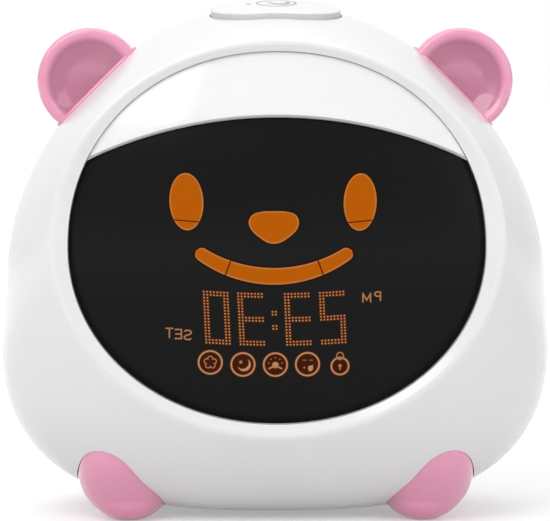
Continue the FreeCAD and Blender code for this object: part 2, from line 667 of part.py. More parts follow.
def ear(name, side):
    body = newBody(name + "Disc")
    half = sketchOn(body, "XY_Plane", name + "Profile")
    dishEdge = "Size.earRadius - Size.earRim"
    front = "-Size.earDepth/2"
    outline(half, [
        ("0", f"{front} + Size.earDish"),
        (f"({dishEdge})*0.55", f"{front} + Size.earDish*0.86"),
        (f"({dishEdge})*0.85", f"{front} + Size.earDish*0.42"),
        (dishEdge, f"{front} + Size.earDish*0.08"),
        ("Size.earRadius - Size.earRim*0.55", front),
        ("Size.earRadius - Size.earRim*0.2", f"{front} + Size.earRim*0.35"),
        ("Size.earRadius", f"{front} + Size.earRim*1.1"),
        ("Size.earRadius", "Size.earDepth*0.12"),
        ("Size.earRadius*0.93", "Size.earDepth*0.3"),
        ("Size.earRadius*0.72", "Size.earDepth*0.43"),
        ("Size.earRadius*0.4", "Size.earDepth*0.49"),
        ("0", "Size.earDepth/2"),
    ])
    revolve(body, half, name + "Turn")
    place(body, "0", "0", "Size.earCentre")
    reach = "2*Size.earRadius"
    below = block(name + "Below", f"-{reach}", f"-{reach}", f"-{reach}", f"2*{reach}", f"2*{reach}", reach)
    disc = cut(name + "OnSeat", body, below)
    chord = "sqrt(Size.earRadius^2 - Size.earCentre^2)"
    flangeLength = f"2*({chord} + Size.earFlangeLip)"
    flangeWidth = "Size.earDepth + Size.earFlangeLip"
    flange = softBlock(name + "Flange", f"-({flangeLength})/2", f"-({flangeWidth})/2", "0",
                       flangeLength, flangeWidth, "Size.earFlange", "Size.earDepth*0.42", "Z")
    neckDepth = "Size.wall + Size.seatGap + Size.earClamp"
    neck = block(name + "Neck", "-Size.earNeckLength/2", "-Size.earNeckWidth/2", f"-({neckDepth})",
                 "Size.earNeckLength", "Size.earNeckWidth", f"{neckDepth} + Size.earFlange/2")
    clampLength = "Size.earNeckLength + 2*Size.earClampLip"
    clampWidth = "Size.earNeckWidth + 2*Size.earClampLip"
    clamp = block(name + "Clamp", f"-({clampLength})/2", f"-({clampWidth})/2", f"-({neckDepth})",
                  clampLength, clampWidth, "Size.earClamp")
    return lean(fuse(name, [disc, flange, neck, clamp]), side)


sides = (("Left", -1), ("Right", 1))
for title, side in sides:
    piece(ear("Ear" + title, side), "ear_" + title.lower())

earSeats = [seated("Seat" + title, "0", side) for title, side in sides]
earPads = [seated("Pad" + title, "-Size.wall", side) for title, side in sides]
caseSkin = cut("CaseSkin", outerForm, fuse("EarSeats", earSeats))
cavity = cut("Cavity", innerForm, fuse("EarPads", earPads))
hollow = cut("Hollow", caseSkin, cavity)

span = "4*Size.caseHalfWidth"
frontSpace = block("FrontSpace", f"-({span})/2", f"-({span})/2", f"-({span})/4", span, f"({span})/2", span)
rearSpace = block("RearSpace", f"-({span})/2", "0", f"-({span})/4", span, f"({span})/2", span)

# Feet

footSpots = [
    ("front_left", "-Size.footHalfSpacing", "-Size.footFront"),
    ("front_right", "Size.footHalfSpacing", "-Size.footFront"),
    ("rear_left", "-Size.footHalfSpacing", "Size.footRear"),
    ("rear_right", "Size.footHalfSpacing", "Size.footRear"),
]
footCentre = "(Size.footRadius - Size.footSole)"
pegTop = "(Size.footBossTop - Size.footBossRoof)"
footBosses = []
footBores = []
for spot, x, y in footSpots:
    title = "Foot" + spot.title().replace("_", "")
    ball = doc.addObject("Part::Sphere", title + "Ball")
    bind(ball, {"Radius": "Size.footRadius"})
    place(ball, x, y, footCentre)
    below = block(title + "Floor", f"{x} - Size.footRadius", f"{y} - Size.footRadius", "-Size.footRadius",
                  "2*Size.footRadius", "2*Size.footRadius", "Size.footRadius")
    flatBall = cut(title + "Flat", ball, below)
    shaped = cut(title + "Shaped", flatBall, caseSkin)
    pegBottom = "Size.footCore"
    peg = rod(title + "Peg", "Size.footPegRadius", f"{pegTop} - {pegBottom}", x, y, pegBottom, "+Z")
    whole = fuse(title + "Whole", [shaped, peg])
    depth = "(Size.screwLength - Size.footBossRoof + Size.holeSpare)"
    bore = "Size.screwRadius + Size.screwGap"
    hole = rod(title + "Hole", bore, f"{depth} + Size.holeSpare", x, y, f"{pegTop} - {depth}", "+Z")
    piece(cut(title, whole, hole), "foot_" + spot)
    footBosses.append(rod(title + "Boss", "Size.footBossRadius", "Size.footBossTop", x, y, "0", "+Z"))
    footBores.append(fuse(title + "Bore", [
        rod(title + "PegBore", "Size.footPegRadius + Size.seatGap", pegTop, x, y, "0", "+Z"),
        rod(title + "ScrewBore", bore, "Size.footBossTop", x, y, f"{pegTop}/2", "+Z"),
    ]))
smallScrew = ("Size.screwRadius", "Size.screwHead", "Size.screwHeadHeight", "Size.screwLength")
uprightScrew = screw("UprightScrew", *smallScrew, plane="XZ_Plane")
footScrewSpots = [(x, y, "Size.footBossTop") for spot, x, y in footSpots]
piece(copies("FootScrews", uprightScrew, footScrewSpots), "foot_screws")

# Snooze button: a slice of the crown's own form, so that it follows the case

snoozeGap = "Size.runGap"


def snoozeColumn(name, grow):
    """An upright column over the snooze opening, wider by grow on every side."""
    length, width = f"Size.snoozeLength + 2*({grow})", f"Size.snoozeWidth + 2*({grow})"
    return softBlock(name, f"-({length})/2", f"-Size.snoozeCentre - ({width})/2", "Size.waistHeight",
                     length, width, "2*Size.waistHeight", f"Size.snoozeRound + ({grow})", "Z")


def skinBetween(high, low):
    """The layer of the case form between two offsets."""
    reach = 0.9
    return caseForm(high, front * reach, rear * reach).cut(caseForm(low, front, rear))


lipTop = -wall - number("runGap")
lipBottom = lipTop - number("snoozeLipThickness")
capLayer = computed("SnoozeCapLayer", skinBetween(number("snoozeProud"), lipBottom))
lipLayer = computed("SnoozeLipLayer", skinBetween(lipTop, lipBottom))
snoozeCap = common("SnoozeCap", capLayer, snoozeColumn("SnoozeColumn", "0"))
snoozeLip = common("SnoozeLip", lipLayer, snoozeColumn("SnoozeLipColumn", "Size.snoozeLip"))
snoozeSwitchTop = "Size.snoozeBoardTop + Size.switchHeight"
postBottom = f"{snoozeSwitchTop} - Size.postReach"
postTop = "Size.crownHeight - Size.wall - Size.runGap - Size.snoozeLipThickness/2"
snoozePost = rod("SnoozePost", "Size.postRadius", f"{postTop} - ({postBottom})",
                 "0", "-Size.snoozeCentre", postBottom, "+Z")
piece(fuse("SnoozeButton", [snoozeCap, snoozeLip, snoozePost]), "snooze_button")
snoozeOpening = snoozeColumn("SnoozeOpening", snoozeGap)

snoozeBossX = "(Size.snoozeLength/2 + Size.snoozeLip + Size.snoozeBossReach)"
snoozeBossY = "-(Size.snoozeCentre + Size.snoozeBossSet)"
snoozeBoardBottom = "(Size.snoozeBoardTop - Size.boardThickness)"
snoozeHoles = [(f"{sign}*{snoozeBossX}", snoozeBossY) for sign in (-1, 1)]
snoozeBoard = newBody("SnoozeBoard")
snoozeFace = sketchOn(snoozeBoard, "XY_Plane", "SnoozeBoardOutline", snoozeBoardBottom)
edgeX = f"{snoozeBossX} + Size.snoozeBoardEdge"
barFront = f"{snoozeBossY} - Size.snoozeBoardEdge"
barRear = f"{snoozeBossY} + Size.snoozeBoardEdge"
tongueX = "Size.switchSize"
tongueRear = "-Size.snoozeCentre + Size.switchSize*0.75"
outline(snoozeFace, [
    (f"-({edgeX})", barFront), (edgeX, barFront), (edgeX, barRear), (tongueX, barRear),
    (tongueX, tongueRear), (f"-{tongueX}", tongueRear), (f"-{tongueX}", barRear), (f"-({edgeX})", barRear),
])
pad(snoozeBoard, snoozeFace, "SnoozeBoardPad", "Size.boardThickness")
snoozeDrill = sketchOn(snoozeBoard, "XY_Plane", "SnoozeBoardHoles", snoozeBoardBottom)
for x, y in snoozeHoles:
    circle(snoozeDrill, x, y, "Size.screwRadius + Size.screwGap")
pocket(snoozeBoard, snoozeDrill, "SnoozeBoardDrill", "Size.boardThickness", backwards=True)
piece(snoozeBoard, "snooze_board")
hangingScrew = newBody("HangingScrew")
hangingProfile = sketchOn(hangingScrew, "XZ_Plane", "HangingProfile")
outline(hangingProfile, [
    ("0", "Size.screwLength"), ("Size.screwRadius", "Size.screwLength - Size.screwRadius"),
    ("Size.screwRadius", "0"), ("Size.screwHead", "0"),
    ("Size.screwHead", f"-Size.screwHeadHeight*{headRim}"),
    (f"Size.screwHead*{headFlat}", "-Size.screwHeadHeight"), ("0", "-Size.screwHeadHeight"),
])
revolve(hangingScrew, hangingProfile, "HangingTurn")
piece(copies("SnoozeScrews", hangingScrew, [(x, y, snoozeBoardBottom) for x, y in snoozeHoles]),
      "snooze_board_screws")
snoozeHousing = block("SnoozeHousing", "-Size.switchSize/2", "-Size.snoozeCentre - Size.switchSize/2",
                      "Size.snoozeBoardTop", "Size.switchSize", "Size.switchSize", "Size.switchHeight")
snoozeBore = rod("SnoozeBore", "Size.postRadius + Size.postGap", "Size.switchHeight", "0",
                 "-Size.snoozeCentre", f"{snoozeSwitchTop} - Size.switchBore", "+Z")
piece(cut("SnoozeSwitch", snoozeHousing, snoozeBore), "snooze_switch")
snoozeBosses = [rod(f"SnoozeBoss{index}", "Size.screwRadius + Size.bossWall", "Size.crownHeight", x, y,
                    "Size.snoozeBoardTop", "+Z") for index, (x, y) in enumerate(snoozeHoles)]
snoozeTapDepth = "(Size.screwLength - Size.boardThickness + Size.holeSpare)"
snoozeTaps = [rod(f"SnoozeTap{index}", "Size.screwRadius + Size.screwGap", snoozeTapDepth, x, y,
                  "Size.snoozeBoardTop", "+Z") for index, (x, y) in enumerate(snoozeHoles)]

# Front shell

caseScrewSpots = [(f"{sign}*Size.caseScrewX", height) for sign in (-1, 1)
                  for height in ("Size.caseScrewUpper", "Size.caseScrewLower")]
frameBackFormula = "(-Size.frontDepth + Size.frontFrame)"
ledgeDepth = "-Size.frontDepth + Size.ringSlope + Size.lensEdge"
displayBoardFront = f"({ledgeDepth} + Size.shieldGap + Size.displayDepth)"
displayBoardBack = f"({displayBoardFront} + Size.boardThickness)"
lightBoardFront = f"({frameBackFormula} + Size.lightDepth)"
displaySpots = [(f"{sign}*Size.displayBossX", height) for sign in (-1, 1)
                for height in ("Size.displayBossUpper", "Size.displayBossLower")]
lightSpots = [(f"{sign}*Size.lightBossX", "Size.lightBossHeight") for sign in (-1, 1)]
screwHole = "Size.screwRadius + Size.screwGap"
bossRadius = "Size.screwRadius + Size.bossWall"

frontPosts = []
frontTaps = []
bossRoot = f"({frameBackFormula} - Size.rootBite)"
caseScrewTip = "(Size.caseBossFloor - Size.caseScrewLength - Size.holeSpare)"
displayTapTip = f"({displayBoardBack} - Size.screwLength - Size.holeSpare)"
lightTapTip = f"({lightBoardFront} + Size.boardThickness - Size.screwLength - Size.holeSpare)"
for index, (x, z) in enumerate(caseScrewSpots):
    frontPosts.append(rod(f"FrontBoss{index}", "Size.caseBossRadius", f"-{bossRoot}", x, bossRoot, z))
    frontTaps.append(rod(f"FrontTap{index}", "Size.caseScrewRadius + Size.screwGap",
                         f"-{caseScrewTip}", x, caseScrewTip, z))
for index, (x, z) in enumerate(displaySpots):
    frontPosts.append(rod(f"DisplayBoss{index}", bossRadius, f"{displayBoardFront} - {bossRoot}",
                          x, bossRoot, z))
    frontTaps.append(rod(f"DisplayTap{index}", screwHole, f"{displayBoardFront} - {displayTapTip}",
                         x, displayTapTip, z))
for index, (x, z) in enumerate(lightSpots):
    frontPosts.append(rod(f"LightBoss{index}", bossRadius, f"{lightBoardFront} - {bossRoot}", x, bossRoot, z))
    frontTaps.append(rod(f"LightTap{index}", screwHole, f"{lightBoardFront} - {lightTapTip}",
                         x, lightTapTip, z))

skinPosts = common("SkinPostsFront", fuse("FrontUprights", footBosses[:2] + snoozeBosses), caseSkin)
frontHalf = common("FrontHalf", cut("FrontOpened", hollow, windowCutter), frontSpace)
frontTrim = common("FrontBossTrim", together("FrontBosses", frontPosts), caseSkin)
frontWhole = fuse("FrontWhole", [frontHalf, skinPosts, frontTrim])
earSlots = [slot("Slot" + title, "Size.seatGap", side) for title, side in sides]
frontTools = footBores[:2] + snoozeTaps + frontTaps + [snoozeOpening] + earSlots
piece(cut("FrontShell", frontWhole, together("FrontTools", frontTools)), "front_shell")

# Battery bay, door and cells

bayHalfLength = "(Size.cellLength/2 + Size.cellEndRoom)"
bayHalfHeight = "(Size.cellPitch*1.5)"
panelInnerFormula = "(Size.rearDepth - Size.wall)"
frameInner = f"({panelInnerFormula} - Size.doorFrame)"
doorInner = "(Size.rearDepth - Size.doorThickness)"
cellY = f"({doorInner} - Size.runGap - Size.cellRadius)"
trayFloor = f"({cellY} - Size.cellRadius - Size.seatGap)"
trayFront = f"({trayFloor} - Size.bayWall)"


def centred(name, halfX, halfZ, z, low, high):
    """A box centred on x = 0 and on z, from y = low to y = high."""
    return centredBlock(name, "0", low, z, f"2*({halfX})", f"{high} - {low}", f"2*({halfZ})")


trayBlock = centred("TrayBlock", f"{bayHalfLength} + Size.bayWall", f"{bayHalfHeight} + Size.bayWall",
                    "Size.bayHeight", trayFront, frameInner)
trayHollow = centred("TrayHollow", bayHalfLength, bayHalfHeight, "Size.bayHeight", trayFloor,
                     f"({frameInner} + Size.bayWall)")
trayShell = cut("TrayShell", trayBlock, trayHollow)
ribHeight = "Size.cellRadius*0.5"
cradles = []
for index, shift in enumerate((-0.5, 0.5)):
    z = f"Size.bayHeight + {shift}*Size.cellPitch"
    cradles.append(centredBlock(f"CellRib{index}", "0", trayFloor, z, "Size.cellLength*0.6", ribHeight,
                                "Size.cellRib"))
piece(fuse("BatteryTray", [trayShell] + cradles), "battery_tray")

rows = [(index, f"Size.bayHeight + {1 - index}*Size.cellPitch") for index in range(3)]
nub = "Size.cellLength*0.022"
for index, z in rows:
    can = rod(f"Cell{index}Can", "Size.cellRadius", f"Size.cellLength - {nub}",
              "-Size.cellLength/2", cellY, z, "+X")
    cap = rod(f"Cell{index}Cap", "Size.cellRadius*0.36", nub, f"Size.cellLength/2 - {nub}", cellY, z, "+X")
    piece(fuse(f"Cell{index}", [can, cap]), f"battery_{index + 1}")

contactParts = []
leafSize = ("Size.contactThickness", "Size.cellRadius*1.5", "Size.cellPitch*0.75")
contactReach = "(Size.cellEndRoom - Size.contactThickness)"
leafEnds = (("Left", f"(-{bayHalfLength} + Size.contactThickness/2)"),
            ("Right", f"({bayHalfLength} - Size.contactThickness/2)"))
for index, z in rows:
    for side, x in leafEnds:
        leaf = centredBlock(f"Leaf{index}{side}", x, f"{cellY} - {leafSize[1]}/2", z, *leafSize)
        contactParts.append(leaf)
    spring = doc.addObject("Part::Cone", f"Spring{index}")
    spring.Placement = Placement(Vector(), turns["+X"])
    bind(spring, {"Radius1": "Size.cellRadius*0.62", "Radius2": "Size.cellRadius*0.4",
                  "Height": contactReach})
    place(spring, f"-{bayHalfLength} + Size.contactThickness", cellY, z)
    stud = rod(f"Stud{index}", "Size.cellRadius*0.3", contactReach, "Size.cellLength/2", cellY, z, "+X")
    contactParts += [spring, stud]
piece(together("BatteryContacts", contactParts), "battery_contacts")

doorScrewSpots = [(f"{sign}*Size.doorScrewX", "Size.bayHeight") for sign in (-1, 1)]
doorScrewSeat = "(Size.rearDepth - Size.screwSink)"
doorSlab = softBlock("DoorSlab", "-Size.doorHalfLength", doorInner, "Size.bayHeight - Size.doorHalfHeight",
                     "2*Size.doorHalfLength", "Size.doorThickness", "2*Size.doorHalfHeight",
                     "Size.doorRound", "Y")
doorTools = []
for index, (x, z) in enumerate(doorScrewSpots):
    doorTools.append(fuse(f"DoorTool{index}", [
        rod(f"DoorHole{index}", screwHole, "2*Size.doorThickness", x, f"{doorInner} - Size.doorThickness", z),
        rod(f"DoorSink{index}", "Size.screwHead + Size.seatGap", "Size.doorThickness", x, doorScrewSeat, z),
    ]))
thumb = rod("DoorThumb", "Size.thumbRadius", "Size.doorThickness", "0", "Size.rearDepth - Size.thumbDepth",
            "Size.bayHeight + Size.doorHalfHeight + Size.thumbRise")
piece(cut("BatteryDoor", doorSlab, together("DoorTools", doorTools + [thumb])), "battery_door")
rearScrew = screw("RearScrew", *smallScrew)
doorScrewPlaces = [(x, doorScrewSeat, z) for x, z in doorScrewSpots]
piece(copies("DoorScrews", rearScrew, doorScrewPlaces), "battery_door_screws")

# Rear shell: panel, bosses, speaker cup and openings

buttons = [("time", -1, 0), ("alarm", -1, 1), ("light", -1, 2), ("plus", 1, 0), ("minus", 1, 1)]


def buttonSpot(side, rowNumber):
    return f"{side}*Size.buttonX", f"Size.buttonTop - {rowNumber}*Size.buttonPitch"


lockX, lockZ = buttonSpot(1, 2)
lockRest = f"({lockX} - Size.lockTravel/2)"
mainSpots = [(f"{sign}*Size.mainBossX", height) for sign in (-1, 1)
             for height in ("Size.mainBossUpper", "Size.mainBossLower")]
speakerAcross = "Size.speakerScrewRing*cos(Size.speakerScrewAngle)"
speakerUp = "Size.speakerScrewRing*sin(Size.speakerScrewAngle)"
speakerSpots = [(f"{sign}*{speakerAcross}", f"Size.speakerHeight + {sign}*{speakerUp}") for sign in (-1, 1)]
speakerRear = f"({panelInnerFormula} - 0.2)"
speakerFront = f"({speakerRear} - Size.speakerDepth)"

rearPosts = []
rearTaps = []
for index, (x, z) in enumerate(caseScrewSpots):
    rearPosts.append(rod(f"RearBoss{index}", "Size.caseBossRadius", "Size.rearDepth", x, "0", z))
    rearTaps.append(fuse(f"RearTap{index}", [
        rod(f"RearHole{index}", "Size.caseScrewRadius + Size.seatGap", "Size.rearDepth", x, "0", z),
        rod(f"RearWell{index}", "Size.caseScrewHead + Size.wellGap", "Size.rearDepth",
            x, "Size.caseBossFloor", z),
    ]))
rearBossTrim = common("RearBossTrim", together("RearBosses", rearPosts), caseSkin)
panelRoot = f"({panelInnerFormula} + Size.rootBite)"
panelPosts = [centred("DoorFrame", "Size.doorHalfLength + Size.doorFrame",
                      "Size.doorHalfHeight + Size.doorFrame", "Size.bayHeight", frameInner, panelRoot)]
panelTaps = []
doorTapTip = f"({doorScrewSeat} - Size.screwLength - Size.holeSpare)"
for index, (x, z) in enumerate(doorScrewSpots):
    panelPosts.append(rod(f"DoorBoss{index}", bossRadius, f"{panelRoot} - {doorTapTip}", x, doorTapTip, z))
    panelTaps.append(rod(f"DoorTap{index}", screwHole, f"{doorScrewSeat} - {doorTapTip}", x, doorTapTip, z))
for index, (x, z) in enumerate(mainSpots):
    panelPosts.append(rod(f"MainBoss{index}", bossRadius, f"{panelRoot} - Size.mainBoardBack", x,
                          "Size.mainBoardBack", z))
    panelTaps.append(rod(f"MainTap{index}", screwHole,
                         "Size.shortScrew - Size.boardThickness + Size.holeSpare",
                         x, "Size.mainBoardBack", z))
for index, (x, z) in enumerate(speakerSpots):
    panelPosts.append(rod(f"SpeakerBoss{index}", bossRadius, f"{panelRoot} - {speakerFront}",
                          x, speakerFront, z))
    panelTaps.append(rod(f"SpeakerTap{index}", screwHole,
                         "Size.shortScrew - Size.clampThickness + Size.holeSpare", x, speakerFront, z))
cupRadius = "Size.speakerRadius + Size.seatGap"
panelPosts.append(cut("SpeakerCup",
                      rod("CupOuter", f"{cupRadius} + Size.bossWall", f"{panelRoot} - {speakerFront}",
                          "0", speakerFront, "Size.speakerHeight"),
                      rod("CupInner", cupRadius, f"{panelInnerFormula} - {speakerFront}",
                          "0", speakerFront, "Size.speakerHeight")))

grilleHoles = []
for ring, count in ((0, 1), (1, 6), (2, 12)):
    for step in range(count):
        angle = 360 / count * step
        grilleHoles.append(rod(f"Grille{ring}n{step}", "Size.grilleHole", "2*Size.wall",
                               f"Size.grillePitch*{ring}*cos({angle})", f"{panelInnerFormula} - 1",
                               f"Size.speakerHeight + Size.grillePitch*{ring}*sin({angle})"))
controlHoles = []
panelTool = ("2*Size.wall", f"{panelInnerFormula} - Size.wall/2")
for title, side, rowNumber in buttons:
    x, z = buttonSpot(side, rowNumber)
    controlHoles.append(pill(title.title() + "Hole", x, panelTool[1], z, "Size.buttonLength + 2*Size.runGap",
                             "Size.buttonHeight + 2*Size.runGap", panelTool[0]))
lockSlotLength = "Size.lockKnob + Size.lockTravel + 2*Size.runGap"
lockSlot = centredBlock("LockSlot", lockX, panelTool[1], lockZ, lockSlotLength, panelTool[0],
                        "Size.lockKnob + 2*Size.runGap")
usbHole = centredBlock("UsbHole", "Size.usbX", panelTool[1], "Size.usbHeight", "Size.usbWide + 2*Size.usbGap",
                       panelTool[0], "Size.usbThick + 2*Size.usbGap")
doorPocket = softBlock("DoorPocket", "-Size.doorHalfLength - Size.runGap", doorInner,
                       "Size.bayHeight - Size.doorHalfHeight - Size.runGap",
                       "2*(Size.doorHalfLength + Size.runGap)", "2*Size.doorThickness",
                       "2*(Size.doorHalfHeight + Size.runGap)", "Size.doorRound + Size.runGap", "Y")
bayOpening = centred("BayOpening", bayHalfLength, bayHalfHeight, "Size.bayHeight",
                     f"({frameInner} - Size.wall)", f"({doorInner} + Size.rootBite)")
rearUprights = common("SkinPostsRear", together("RearUprights", footBosses[2:]), caseSkin)
rearHalf = common("RearHalf", hollow, rearSpace)
rearWhole = fuse("RearWhole", [rearHalf, rearBossTrim, rearUprights] + panelPosts)
rearDrilled = cut("RearDrilled", rearWhole, together("RearTools", rearTaps + footBores[2:] + panelTaps))
rearOpened = cut("RearOpened", rearDrilled, fuse("BayCutter", [doorPocket, bayOpening]))
rearControls = grilleHoles + controlHoles + [lockSlot, usbHole, snoozeOpening] + earSlots
piece(cut("RearShell", rearOpened, together("RearControls", rearControls)), "rear_shell")

caseScrew = screw("CaseScrew", "Size.caseScrewRadius", "Size.caseScrewHead", "Size.caseHeadHeight",
                  "Size.caseScrewLength")
caseScrewPlaces = [(x, "Size.caseBossFloor", z) for x, z in caseScrewSpots]
piece(copies("CaseScrews", caseScrew, caseScrewPlaces), "case_screws")

# Setting buttons, their switches and the lock switch

lipRear = f"({panelInnerFormula} - Size.runGap)"
lipFront = f"({lipRear} - Size.buttonLip)"
switchRear = "(Size.mainBoardBack + Size.switchHeight)"
for title, side, rowNumber in buttons:
    x, z = buttonSpot(side, rowNumber)
    name = title.title()
    proud = "Size.rearDepth + Size.buttonProud"
    cap = pill(name + "Cap", x, lipRear, z, "Size.buttonLength", "Size.buttonHeight", f"{proud} - {lipRear}")
    lip = pill(name + "Lip", x, lipFront, z, "Size.buttonLength + 2*Size.buttonLip",
               "Size.buttonHeight + 2*Size.buttonLip", "Size.buttonLip")
    postFront = f"({switchRear} - Size.postReach)"
    post = rod(name + "Post", "Size.postRadius", f"{lipFront} - {postFront}", x, postFront, z)
    piece(fuse(name + "Button", [cap, lip, post]), title + "_button")

housings = []
for title, side, rowNumber in buttons:
    x, z = buttonSpot(side, rowNumber)
    housing = centredBlock(f"{title.title()}Housing", x, "Size.mainBoardBack", z, "Size.switchSize",
                           "Size.switchHeight", "Size.switchSize")
    bore = rod(f"{title.title()}Bore", "Size.postRadius + Size.postGap", "Size.switchHeight", x,
               f"{switchRear} - Size.switchBore", z)
    housings.append(cut(f"{title.title()}Switch", housing, bore))
piece(together("TactSwitches", housings), "tact_switches")

lockBody = centredBlock("LockBodyBlock", lockX, "Size.mainBoardBack", lockZ, "Size.lockSwitchLength",
                        "Size.switchHeight", "Size.lockKnob + 1")
lockStem = "Size.lockKnob*0.5"
stemFront = f"({switchRear} - Size.postReach)"
grooveLength = f"{lockStem} + Size.lockTravel + 2*Size.runGap"
lockGroove = centredBlock("LockGroove", lockX, f"{stemFront} - Size.runGap", lockZ, grooveLength,
                          "Size.switchHeight", f"{lockStem} + 2*Size.runGap")
piece(cut("LockSwitchBody", lockBody, lockGroove), "lock_switch_body")
knobRear = "(Size.rearDepth + Size.buttonProud)"
coverLength = "Size.lockKnob + 2*Size.lockTravel + 2*Size.buttonLip"
lockStub = centredBlock("LockStub", lockRest, lipRear, lockZ, "Size.lockKnob", f"{knobRear} - {lipRear}",
                        "Size.lockKnob")
lockCover = centredBlock("LockCover", lockRest, lipFront, lockZ, coverLength, "Size.buttonLip",
                         "Size.lockKnob + 2*Size.buttonLip")
lockPost = centredBlock("LockPost", lockRest, stemFront, lockZ, lockStem, f"{lipFront} - {stemFront}",
                        lockStem)
lockGrips = []
for index, shift in enumerate((-0.25, 0, 0.25)):
    lockGrips.append(centredBlock(f"LockGrip{index}", f"{lockRest} + {shift}*Size.lockKnob",
                                  f"{knobRear} - Size.gripDepth", lockZ, "Size.gripDepth", "Size.buttonProud",
                                  "2*Size.lockKnob"))
lockWhole = fuse("LockWhole", [lockStub, lockCover, lockPost])
piece(cut("LockKnob", lockWhole, together("LockGrips", lockGrips)), "lock_switch_knob")

# Power socket

usbRear = f"({panelInnerFormula} - 0.2)"
usbBlock = centredBlock("UsbBlock", "Size.usbX", "Size.mainBoardBack", "Size.usbHeight", "Size.usbWide",
                        f"{usbRear} - Size.mainBoardBack", "Size.usbThick")
usbFloor = f"({usbRear} - Size.usbBore)"
usbMouth = centredBlock("UsbMouth", "Size.usbX", usbFloor, "Size.usbHeight", "Size.usbWide - 2*Size.usbWall",
                        "2*Size.usbBore", "Size.usbThick - 2*Size.usbWall")
usbTongue = centredBlock("UsbTongue", "Size.usbX", f"{usbFloor} - Size.usbWall", "Size.usbHeight",
                         "Size.usbWide*0.5", "Size.usbBore*0.9", "Size.usbThick*0.2")
piece(fuse("UsbSocket", [cut("UsbShell", usbBlock, usbMouth), usbTongue]), "usb_socket")

# Speaker

basket = newBody("Speaker")
basketHalf = sketchOn(basket, "XY_Plane", "SpeakerProfile")
coneDepth = f"{speakerRear} - Size.speakerDepth"
magnetFront = f"{speakerFront} - Size.magnetDepth"
outline(basketHalf, [
    ("0", f"{coneDepth}*0.45"),
    ("Size.magnetRadius*0.6", f"{coneDepth}*0.42"),
    ("Size.speakerRadius*0.78", f"{coneDepth}*0.1"),
    ("Size.speakerRadius*0.86", speakerRear),
    ("Size.speakerRadius", speakerRear),
    ("Size.speakerRadius", f"{coneDepth}*0.35"),
    ("Size.speakerRadius*0.86", f"{coneDepth}*0.35"),
    ("Size.magnetRadius*1.15", speakerFront),
    ("Size.magnetRadius", speakerFront),
    ("Size.magnetRadius", magnetFront),
    ("0", magnetFront),
])
revolve(basket, basketHalf, "SpeakerTurn")
place(basket, "0", "0", "Size.speakerHeight")
piece(basket, "speaker")
clampFront = f"({speakerFront} - Size.clampThickness)"
clampPlace = ("Size.clampThickness", "0", clampFront, "Size.speakerHeight")
clampDisc = cut("ClampRing", rod("ClampOuter", f"{cupRadius} + Size.bossWall", *clampPlace),
                rod("ClampInner", "Size.clampInner", *clampPlace))
clampEars = [rod(f"ClampEar{index}", bossRadius, "Size.clampThickness", x, clampFront, z)
             for index, (x, z) in enumerate(speakerSpots)]
clampHoles = [rod(f"ClampHole{index}", screwHole, "2*Size.clampThickness", x, clampFront, z)
              for index, (x, z) in enumerate(speakerSpots)]
piece(cut("SpeakerClamp", fuse("ClampWhole", [clampDisc] + clampEars), together("ClampHoles", clampHoles)),
      "speaker_clamp")
shortScrew = newBody("ShortScrew")
shortProfile = sketchOn(shortScrew, "XY_Plane", "ShortProfile")
outline(shortProfile, [
    ("0", "Size.shortScrew"), ("Size.screwRadius", "Size.shortScrew - Size.screwRadius"),
    ("Size.screwRadius", "0"), ("Size.screwHead", "0"),
    ("Size.screwHead", f"-Size.screwHeadHeight*{headRim}"),
    (f"Size.screwHead*{headFlat}", "-Size.screwHeadHeight"), ("0", "-Size.screwHeadHeight"),
])
revolve(shortScrew, shortProfile, "ShortTurn")
piece(copies("SpeakerScrews", shortScrew, [(x, clampFront, z) for x, z in speakerSpots]), "speaker_screws")

# Boards

mainFront = "(Size.mainBoardBack - Size.boardThickness)"
stepZ = "(Size.caseScrewUpper - Size.caseBossRadius - Size.holeSpare)"
stepX = "(Size.buttonX + Size.buttonLength)"
mainRight = [("Size.mainBoardHalfWidth", "Size.mainBoardBottom"), ("Size.mainBoardHalfWidth", stepZ),
             (stepX, stepZ), (stepX, "Size.mainBoardTop")]
mainCorners = mainRight + [(f"-{x}", z) for x, z in reversed(mainRight)]
piece(plate("MainBoard", "Size.mainBoardBack", mainCorners, mainSpots, screwHole), "main_board")
piece(copies("MainScrews", shortScrew, [(x, mainFront, z) for x, z in mainSpots]), "main_board_screws")

wingTop = "(Size.displayBossUpper + 1.5*Size.displayBoardEdge)"
wingBottom = "(Size.displayBossLower - 1.5*Size.displayBoardEdge)"
wingX = "(Size.displayBossX + Size.displayBoardEdge)"
bodyX = "Size.displayBoardHalfWidth"
displayRight = [(bodyX, "Size.displayBoardBottom"), (bodyX, wingBottom), (wingX, wingBottom),
                (wingX, wingTop), (bodyX, wingTop), (bodyX, "Size.displayBoardTop")]
displayCorners = displayRight + [(f"-{x}", z) for x, z in reversed(displayRight)]
piece(plate("DisplayBoard", displayBoardBack, displayCorners, displaySpots, screwHole), "display_board")
displayScrewPlaces = [(x, displayBoardBack, z) for x, z in displaySpots]
piece(copies("DisplayScrews", rearScrew, displayScrewPlaces), "display_board_screws")

lightBottom = "(Size.browHeight + Size.lightBoardLow)"
lightX = "(Size.lightBossX + Size.lightBoardSide)"
lightTop = "(Size.lightBossHeight + Size.lightBoardAbove)"
lightRight = [(lightX, lightBottom), (lightX, lightTop)]
lightCorners = lightRight + [(f"-{x}", z) for x, z in reversed(lightRight)]
lightBack = f"({lightBoardFront} + Size.boardThickness)"
piece(plate("LightBoard", lightBack, lightCorners, lightSpots, screwHole), "night_light_board")
piece(copies("LightScrews", rearScrew, [(x, lightBack, z) for x, z in lightSpots]), "night_light_screws")

# Display: the light shield with a cell for every segment, and a lamp behind each cell

